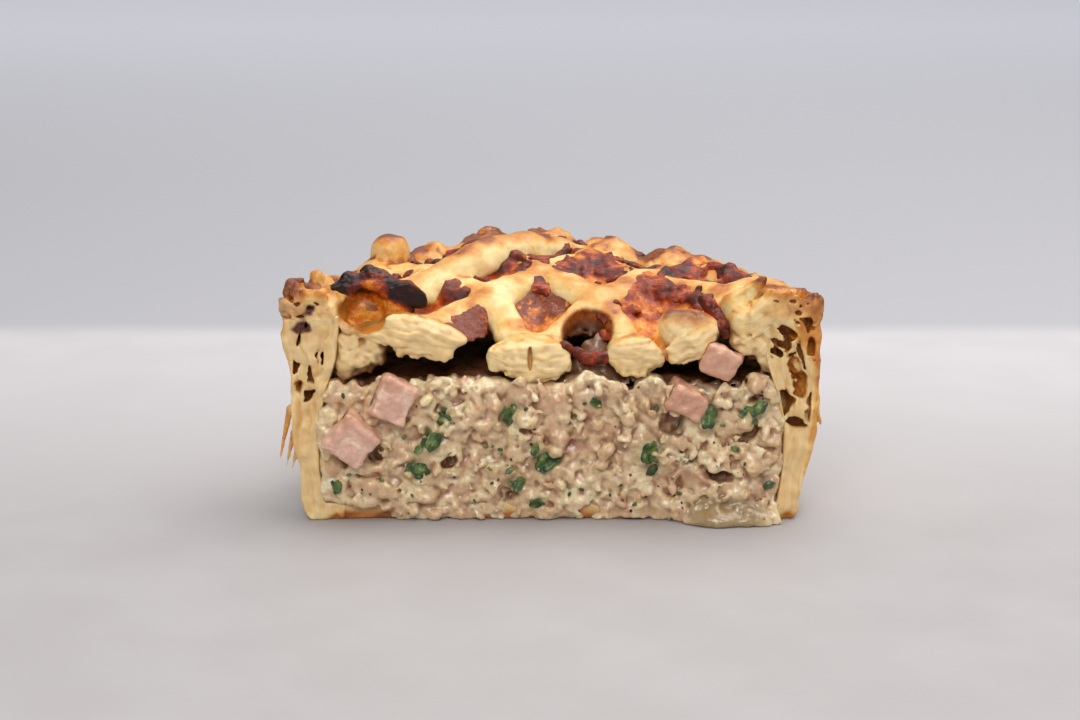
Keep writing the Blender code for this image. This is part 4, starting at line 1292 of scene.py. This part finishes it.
# Flecks of parsley in the cut face: place along X and Z, length and turn.
PARSLEY = [
    (-0.6, 12.7, 6.4, 20),
    (-21.6, 21.4, 4.4, -20),
    (-23.6, 17.0, 5.0, 50),
    (-27.0, 10.8, 5.8, -10),
    (-8.2, 22.4, 4.2, 80),
    (-6.6, 7.6, 4.0, 60),
    (-3.0, 3.9, 3.6, 0),
    (9.0, 24.8, 3.2, -60),
    (19.7, 14.8, 5.6, 75),
    (20.4, 10.6, 3.2, 40),
    (31.4, 22.2, 5.8, 80),
    (41.6, 23.6, 4.6, 30),
    (44.0, 7.6, 3.0, 10),
    (-43.0, 7.4, 3.4, 80),
    (-34.4, 30.6, 3.0, 60),
    (38.6, 22.4, 2.4, 40),
    (37.0, 15.2, 2.0, 0),
    (21.0, 23.4, 1.8, 70),
    (-8.4, 11.0, 2.2, 30),
    (-26.6, 15.2, 2.6, 60),
]


def surface_from_front(meat):
    """A function that gives the cut face's point and its slope at a place, seen from in front."""
    tree = BVHTree.FromObject(meat, bpy.context.evaluated_depsgraph_get())

    def at(x, z):
        start = Vector((np.array([x, -30.0, z]) + PLACE) * MM)
        place, normal, _, _ = tree.ray_cast(start, Vector((0, 1, 0)))
        if place is None:
            return None, None
        return np.array(place) / MM - PLACE, normal

    return at


def curled_leaf(rng, place, normal, length, lean, steps=10):
    """The points and faces of one scrap of leaf: lobed, curled and as thin as real parsley."""
    across, along = np.meshgrid(np.linspace(-1, 1, steps), np.linspace(-1, 1, steps), indexing="ij")
    reach = np.hypot(across, along) + 1e-6
    bearing = np.arctan2(along, across)
    lobes = 0.8 + 0.2 * np.abs(np.sin(bearing * 2.5 + rng.uniform(0, 3)))
    square = np.maximum(np.abs(across), np.abs(along)) / reach
    u = across * square * lobes * length / 2
    v = along * square * lobes * length / 2 * 0.62
    waves = np.sin(u * 2.0 + rng.uniform(0, 6)) + np.sin(v * 2.8 + rng.uniform(0, 6))
    curl = 0.06 * length * waves
    local = np.stack([u, -curl - 0.65, v], -1).reshape(-1, 3)
    facing = Vector((0, -1, 0)).rotation_difference((normal + Vector((0, -1.2, 0))).normalized())
    turned = Matrix.Rotation(math.radians(lean), 3, "Y")
    front = local @ np.array(facing.to_matrix() @ turned).T + place
    thin = np.array(facing @ Vector((0, -1, 0))) * 0.16
    points = np.concatenate([front + thin, front - thin])
    number = np.arange(steps * steps).reshape(steps, steps)
    quads = [number[:-1, :-1], number[1:, :-1], number[1:, 1:], number[:-1, 1:]]
    quads = np.stack(quads, -1).reshape(-1, 4)
    rim = np.concatenate([number[:, 0], number[-1, 1:], number[-2::-1, -1], number[0, -2:0:-1]])
    after = np.roll(rim, -1)
    back = steps * steps
    sides = np.stack([rim, rim + back, after + back, after], -1)
    return points, np.concatenate([quads, quads[:, ::-1] + back, sides])


def parsley(at):
    """Sprigs of a few leaves at their places on the cut face, and small scraps between them."""
    rng = np.random.default_rng(21)
    parts = []
    for x, z, length, lean in PARSLEY:
        pieces = 3 if length > 4 else (2 if length > 3 else 1)
        for piece in range(pieces):
            spread = 0.26 * length if piece else 0
            place, normal = at(x + rng.normal(0, spread), z + rng.normal(0, spread))
            if place is not None and place[1] < 3:
                size = length * (rng.uniform(0.3, 0.5) if piece else 0.95)
                turned = -lean + rng.normal(0, 60 if piece else 8)
                parts.append(curled_leaf(rng, place, normal, size, turned))
    for _ in range(34):
        x, z = rng.uniform(-42, 44), rng.uniform(2, 27)
        place, normal = at(x, z)
        if place is not None and place[1] < 0:
            size, turned = rng.uniform(0.5, 1.3), rng.uniform(0, 180)
            parts.append(curled_leaf(rng, place, normal, size, turned, 5))
    points, quads = join(parts)
    return mesh_object("parsley", points, quads, leaf_look(), {"shade": noise(*points.T, 1.6, 81)})


def pepper(at):
    """Specks of ground pepper and browned meat on the cut face."""
    rng = np.random.default_rng(33)
    faces = [[0, 1, 3, 2], [4, 6, 7, 5], [0, 4, 5, 1], [2, 3, 7, 6], [0, 2, 6, 4], [1, 5, 7, 3]]
    corners = np.array(list(product((-1, 1), repeat=3)), float)
    parts = []
    for _ in range(40):
        x, z = rng.uniform(-43, 45), rng.uniform(1, 28)
        place, _ = at(x, z)
        if place is not None and place[1] < 0:
            size = rng.uniform(0.09, 0.26)
            shape = corners * size * rng.uniform(0.7, 1.3, (8, 3)) @ turn(rng.uniform(0, 180, 3))
            parts.append((shape + place - [0, 0.3 * size, 0], np.array(faces)))
    points, quads = join(parts)
    return mesh_object("pepper", points, quads, pepper_look())


# ---------------------------------------------------------------- materials


def colour(red, green, blue):
    """A linear colour from the 0 to 255 numbers of a colour picker."""
    shares = [value / 255 for value in (red, green, blue)]
    return (*[s / 12.92 if s <= 0.04045 else ((s + 0.055) / 1.055) ** 2.4 for s in shares], 1.0)


class Look:
    """A material's nodes, made one by one round its Principled shader."""

    def __init__(self, name, **sockets):
        self.material = bpy.data.materials.new(name)
        self.material.use_nodes = True
        self.tree = self.material.node_tree
        self.shader = self.tree.nodes["Principled BSDF"]
        for key, value in sockets.items():
            self.shader.inputs[key.replace("_", " ")].default_value = value
        where = self.node("TexCoord").outputs["Object"]
        scaled = self.node("VectorMath", {0: where, "Scale": 1 / MM}, operation="SCALE")
        self.where = scaled.outputs[0]

    def put(self, socket, value):
        """Links an output to a socket, or sets the socket to a number or a colour."""
        if isinstance(value, bpy.types.NodeSocket):
            self.tree.links.new(value, socket)
        else:
            socket.default_value = value

    def node(self, kind, inputs=None, **settings):
        """A new node with its settings, and its inputs by name or by number."""
        made = self.tree.nodes.new("ShaderNode" + kind)
        for key, value in settings.items():
            setattr(made, key, value)
        for key, value in (inputs or {}).items():
            self.put(made.inputs[key], value)
        return made

    def cover(self, shade, roughness=None):
        """Gives the shader its colour and, where it varies, its roughness."""
        self.put(self.shader.inputs["Base Color"], shade)
        if roughness is not None:
            self.put(self.shader.inputs["Roughness"], roughness)

    def tone(self, name):
        """A number that is kept on the mesh's points."""
        return self.node("Attribute", attribute_name=name).outputs["Fac"]

    def grain(self, size, detail=3.0, rough=0.5, stretch=None, distortion=0.0):
        """Noise whose lumps are size millimetres wide, from 0 to 1."""
        where = self.where
        if stretch:
            where = self.node("Mapping", {"Scale": stretch, "Vector": where}).outputs[0]
        inputs = {"Scale": 1 / size, "Detail": detail, "Roughness": rough, "Distortion": distortion}
        return self.node("TexNoise", {"Vector": where, **inputs}).outputs["Fac"]

    def sums(self, kind, one, other=0.0, clamp=False):
        """The sum, product or the like of two numbers."""
        return self.node("Math", {0: one, 1: other}, operation=kind, use_clamp=clamp).outputs[0]

    def span(self, value, low, high, to_low=0.0, to_high=1.0):
        """A value's stretch from low to high, spread over another range and kept in it."""
        ends = {"From Min": low, "From Max": high, "To Min": to_low, "To Max": to_high}
        made = self.node("MapRange", {"Value": value, **ends}, interpolation_type="SMOOTHSTEP")
        return made.outputs[0]

    def mix(self, share, one, other):
        """A colour between two others."""
        return self.node("Mix", {0: share, 6: one, 7: other}, data_type="RGBA").outputs[2]

    def stain_and_shade(self, shade, tone, most, other):
        """A colour that turns into another by a tone, and no further than a share: used for real
        stains and for painted shade.
        """
        return self.mix(self.sums("MULTIPLY", self.tone(tone), most), shade, other)

    def blend(self, share, one, other):
        """A number between two others."""
        return self.node("Mix", {0: share, 2: one, 3: other}).outputs[0]

    def lines(self, name, size, length):
        """Thin lines that follow a tone's levels: size is their width in the tone's own steps."""
        apart = self.node("SeparateXYZ", {0: self.where})
        east, up = [self.sums("DIVIDE", apart.outputs[side], length) for side in (0, 2)]
        level = self.sums("DIVIDE", self.tone(name), size)
        where = self.node("CombineXYZ", {0: east, 1: level, 2: up}).outputs[0]
        inputs = {"Vector": where, "Scale": 1.0, "Detail": 3.0}
        return self.node("TexNoise", inputs).outputs["Fac"]

    def ramp(self, value, *stops):
        """Colours set out over the values from 0 to 1, each stop with its place and colour."""
        made = self.node("ValToRGB", {0: value})
        elements = made.color_ramp.elements
        while len(elements) < len(stops):
            elements.new(0.5)
        for element, (place, shade) in zip(elements, stops):
            element.position = place
            element.color = shade
        return made.outputs[0]

    def bump(self, height, strength, distance, under=None):
        """Fine relief; under is what another relief under it gave."""
        inputs = {"Strength": strength, "Distance": distance * MM, "Height": height}
        if under is not None:
            inputs["Normal"] = under
        relief = self.node("Bump", inputs).outputs[0]
        self.put(self.shader.inputs["Normal"], relief)
        return relief


@cache
def pastry_look():
    """Pastry: baked outside, pale and layered where it is cut, with amber glaze and charred spots.
    Clear gel in the hollows and the dark underside of the lid are partly painted shade, and darker
    crumb in hollows is painted shade."""
    look = Look(
        "baked_pastry",
        Subsurface_Weight=0.3,
        Subsurface_Scale=0.0014,
        Subsurface_Radius=(1.0, 0.55, 0.25),
        Coat_Weight=0.12,
        Coat_Roughness=0.2,
        Specular_IOR_Level=0.3,
    )
    wide, fine, specks = look.grain(4.0, 4), look.grain(1.1, 4, 0.6), look.grain(0.35, 3, 0.6)
    brown = look.sums("ADD", look.tone("brown"), look.span(wide, 0.35, 0.75, -0.08, 0.18))
    brown = look.sums("ADD", brown, look.span(fine, 0.3, 0.8, -0.06, 0.1), clamp=True)
    baked = look.ramp(
        brown,
        (0.0, colour(238, 214, 158)),
        (0.2, colour(229, 189, 117)),
        (0.42, colour(214, 154, 76)),
        (0.7, colour(190, 114, 44)),
        (1.0, colour(124, 64, 22)),
    )
    lines = look.lines("layer", 0.45, 9.0)
    crumb = look.mix(look.span(lines, 0.3, 0.72), colour(230, 197, 138), colour(241, 217, 167))
    crumb = look.mix(look.span(wide, 0.4, 0.7, 0.0, 0.5), crumb, colour(226, 190, 126))
    # Painted shade: the cut crumb darkens in its hollows.
    crumb = look.stain_and_shade(crumb, "hollow", 0.7, colour(204, 150, 84))
    shade = look.mix(look.tone("cut"), baked, crumb)
    glaze = look.mix(look.span(fine, 0.3, 0.7), colour(186, 104, 38), colour(132, 62, 26))
    amber = look.sums("MULTIPLY", look.tone("amber"), look.span(wide, 0.3, 0.55, 0.4, 0.85))
    shade = look.mix(amber, shade, glaze)
    # deep: the lid's dark underside, painted shade with some real wet browning.
    shade = look.mix(look.tone("deep"), shade, colour(98, 52, 22))
    # clear: amber gel in the bubble and the air pockets, partly the pastry's own glaze and partly
    # painted shade in those recesses.
    gel = look.mix(look.span(wide, 0.3, 0.7), colour(192, 122, 42), colour(142, 80, 26))
    shade = look.mix(look.tone("clear"), shade, gel)
    char = look.mix(look.span(specks, 0.35, 0.65), colour(46, 24, 22), colour(112, 52, 30))
    shade = look.mix(look.tone("char"), shade, char)
    gloss = look.span(wide, 0.3, 0.7, 0.28, 0.5)
    look.cover(shade, look.blend(look.tone("cut"), gloss, 0.55))
    first = look.bump(fine, 0.35, 0.25)
    layered = look.sums("MULTIPLY", lines, look.tone("cut"))
    look.bump(look.sums("ADD", specks, layered), 0.15, 0.08, first)
    return look.material


def meat_look():
    """Minced meat: a tint for each lump, painted shade in its hollows and pits, and what the other
    tones tint.
    """
    look = Look(
        "sausage_meat",
        Subsurface_Weight=0.5,
        Subsurface_Scale=0.0024,
        Subsurface_Radius=(1.0, 0.62, 0.36),
        Coat_Weight=0.7,
        Coat_Roughness=0.1,
    )
    wide, fine, specks = look.grain(4.0, 3), look.grain(0.6, 4, 0.6), look.grain(1.3, 3, 0.6)
    crumb = look.ramp(
        look.sums("ADD", look.tone("tint"), look.span(specks, 0.3, 0.7, -0.14, 0.14), clamp=True),
        (0.0, colour(200, 160, 124)),
        (0.3, colour(212, 178, 138)),
        (0.5, colour(223, 198, 154)),
        (0.7, colour(238, 219, 176)),
        (1.0, colour(247, 236, 204)),
    )
    shade = look.mix(look.span(wide, 0.42, 0.62, 0.0, 0.45), crumb, colour(202, 156, 122))
    shade = look.mix(look.span(fine, 0.4, 0.75, 0.0, 0.25), shade, colour(196, 154, 108))
    # Painted shade: the crevices between the lumps darken.
    shade = look.mix(look.tone("hollow"), shade, colour(146, 90, 56))
    shade = look.stain_and_shade(shade, "leafy", 0.3, colour(160, 156, 104))
    shade = look.stain_and_shade(shade, "red", 0.75, colour(142, 74, 48))
    # pit: painted shade in the torn pits.
    shade = look.stain_and_shade(shade, "pit", 0.7, colour(98, 56, 34))
    # browned: the top under the lid, real browning with painted shade.
    shade = look.stain_and_shade(shade, "browned", 0.95, colour(96, 46, 16))
    shade = look.stain_and_shade(shade, "pool", 0.85, colour(146, 122, 80))
    matte = look.span(fine, 0.3, 0.7, 0.24, 0.46)
    look.cover(shade, look.blend(look.tone("pool"), matte, 0.12))
    look.bump(look.sums("ADD", fine, specks), 0.45, 0.3)
    return look.material


@cache
def ham_look():
    """Ham: pink strands, browned at the top."""
    look = Look(
        "ham_meat",
        Subsurface_Weight=0.4,
        Subsurface_Scale=0.0015,
        Subsurface_Radius=(1.0, 0.4, 0.3),
        Coat_Weight=0.3,
        Coat_Roughness=0.2,
    )
    strands, fine = look.grain(3.4, 4, 0.55, (1.0, 1.0, 1.7), 0.8), look.grain(0.6, 3)
    shade = look.ramp(
        strands,
        (0.32, colour(206, 158, 136)),
        (0.5, colour(222, 180, 158)),
        (0.7, colour(238, 206, 182)),
    )
    shade = look.mix(look.span(fine, 0.4, 0.7, 0.0, 0.3), shade, colour(196, 146, 120))
    shade = look.stain_and_shade(shade, "crown", 0.45, colour(190, 124, 82))
    look.cover(shade, look.span(strands, 0.3, 0.7, 0.32, 0.5))
    look.bump(fine, 0.35, 0.2)
    return look.material


@cache
def cheese_look():
    """Cheese: golden to black as it burns, with browned meat showing in the slabs."""
    look = Look(
        "caught_cheese",
        Subsurface_Weight=0.12,
        Subsurface_Scale=0.001,
        Subsurface_Radius=(1.0, 0.4, 0.15),
        Coat_Weight=0.16,
        Coat_Roughness=0.12,
        Specular_IOR_Level=0.2,
    )
    fine, coarse = look.grain(0.55, 4, 0.65), look.grain(1.8, 3)
    burn = look.sums("ADD", look.tone("burn"), look.span(fine, 0.3, 0.7, -0.08, 0.08))
    burn = look.sums("ADD", burn, look.span(coarse, 0.3, 0.7, -0.12, 0.12), clamp=True)
    shade = look.ramp(
        burn,
        (0.0, colour(230, 162, 66)),
        (0.18, colour(206, 118, 30)),
        (0.34, colour(172, 76, 18)),
        (0.5, colour(134, 46, 16)),
        (0.66, colour(104, 34, 16)),
        (0.85, colour(68, 26, 16)),
        (1.0, colour(34, 17, 12)),
    )
    meaty = look.mix(look.span(fine, 0.3, 0.7), colour(140, 70, 44), colour(98, 46, 32))
    shade = look.stain_and_shade(shade, "slab", look.span(coarse, 0.3, 0.5), meaty)
    look.cover(shade, look.span(fine, 0.3, 0.7, 0.25, 0.5))
    look.bump(fine, 0.6, 0.3)
    return look.material


def leaf_look():
    """Cooked parsley, darker and paler in patches."""
    look = Look("parsley_leaf", Subsurface_Weight=0.1, Subsurface_Scale=0.0005, Coat_Weight=0.2)
    patches = look.span(look.tone("shade"), -0.6, 0.6, 0.0, 0.7)
    shade = look.ramp(
        look.sums("ADD", patches, look.span(look.grain(0.4), 0.3, 0.7, 0, 0.3)),
        (0.0, colour(34, 52, 26)),
        (0.45, colour(58, 84, 36)),
        (0.8, colour(96, 118, 50)),
        (1.0, colour(132, 146, 78)),
    )
    look.cover(shade, look.span(look.grain(0.5), 0.3, 0.7, 0.35, 0.6))
    return look.material


def pepper_look():
    """Dark brown specks."""
    look = Look("pepper", Roughness=0.5)
    patches = look.span(look.grain(0.8), 0.35, 0.65)
    look.cover(look.mix(patches, colour(52, 34, 24), colour(120, 78, 50)))
    look.bump(look.grain(0.2), 0.4, 0.1)
    return look.material


# ---------------------------------------------------------------- floor, lights and camera

# The place that the camera looks at, how many metres away it is and how far it looks down.
LOOKED_AT, CAMERA_AWAY, CAMERA_PITCH = (-2.2, 0.0, 33.3), 0.42, 13.0


def stage():
    """A pale table in front and a paler floor behind it that ends out of sight, both painted
    lighter
    towards the back: painted light that evens out how the lamps fall off.
    """
    mesh = bpy.data.meshes.new("floor")
    mesh.from_pydata([(-30, -30, 0), (30, -30, 0), (30, 30, 0), (-30, 30, 0)], [], [(0, 1, 2, 3)])
    look = Look("pale_floor", Roughness=0.6)
    depth = look.node("SeparateXYZ", {0: look.where}).outputs[1]
    # Painted light: the table is darker at the front and lighter towards the back.
    table = look.mix(look.span(depth, -60, 160), colour(166, 162, 162), colour(198, 195, 197))
    clouds = look.span(look.grain(26.0, 4), 0.35, 0.7, 0.0, 0.3)
    table = look.mix(clouds, table, colour(180, 177, 178))
    # Painted light: the floor behind grows paler far off, where the lamps fall off.
    far = look.mix(look.span(depth, 160, 1500), colour(174, 173, 177), colour(232, 232, 238))
    look.cover(look.mix(look.span(depth, 150, 170), table, far))
    mesh.materials.append(look.material)
    floor = new_object("floor", mesh)


def area_light(name, place, target, size, power, tint):
    """A soft rectangular light at a place in metres that shines at a target."""
    lamp = bpy.data.lights.new(name, "AREA")
    lamp.shape = "RECTANGLE"
    lamp.size, lamp.size_y = size
    lamp.energy = power
    lamp.color = tint
    obj = new_object(name, lamp)
    obj.location = place
    aim = Vector(target) - Vector(place)
    obj.rotation_euler = aim.to_track_quat("-Z", "Y").to_euler()


def lights():
    """A warm light from above at the right, a soft one in front, one for the floor behind, and
    an even room."""
    world = bpy.data.worlds.new("soft_room")
    world.use_nodes = True
    background = world.node_tree.nodes["Background"]
    background.inputs["Color"].default_value = (0.93, 0.95, 1.0, 1.0)
    background.inputs["Strength"].default_value = 0.32
    bpy.context.scene.world = world
    middle = (0.0, 0.0, 0.02)
    area_light("key", (0.26, 0.08, 0.72), middle, (0.7, 0.7), 5.0, (1.0, 0.97, 0.93))
    area_light("front", (-0.1, -0.8, 0.6), middle, (0.5, 0.4), 4.9, (1.0, 0.98, 0.96))
    area_light("back", (0.0, 1.6, 2.4), (0.0, 1.6, 0.0), (4.0, 3.4), 44.0, (0.97, 0.98, 1.0))


def camera():
    """Looks at the cut face from a little above it."""
    made = bpy.data.cameras.new("camera")
    made.lens = 70.0
    made.sensor_width = 36.0
    made.clip_start = 0.01
    obj = new_object("camera", made)
    target = Vector((PLACE + LOOKED_AT) * MM)
    pitch = math.radians(CAMERA_PITCH)
    obj.location = target + CAMERA_AWAY * Vector((0, -math.cos(pitch), math.sin(pitch)))
    obj.rotation_euler = (math.pi / 2 - pitch, 0.0, 0.0)
    bpy.context.scene.camera = obj


# ---------------------------------------------------------------- the whole pie


def dress(obj, slot, *nodes):
    """Hides the CAD nodes that a piece stands for; the piece and its slot are not used."""
    if nodes:
        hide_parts(*nodes)


def main():
    """Sets the scene and builds the pie's pieces."""
    bpy.context.scene.view_settings.view_transform = "Standard"
    camera()
    lights()
    stage()
    dress(lid(), "lattice_pastry", "lattice_lid")
    dress(case(), "golden_crust", "pastry_case")
    meat = filling()
    dress(meat, "sausage_filling", "filling")
    for number, (node, centre, size, rotation) in enumerate(HAM_DICE, 1):
        dress(ham(number, centre, size, rotation), "ham", node)
    for number, (place, height, crest, dark) in enumerate(CHEESE, 1):
        piece = cheese(number, place, height, crest, dark)
        dress(piece, "browned_cheese", f"browned_cheese_{number}")
    dress(scraps(), "browned_cheese")
    at = surface_from_front(meat)
    dress(parsley(at), "sausage_filling")
    dress(pepper(at), "sausage_filling")


main()
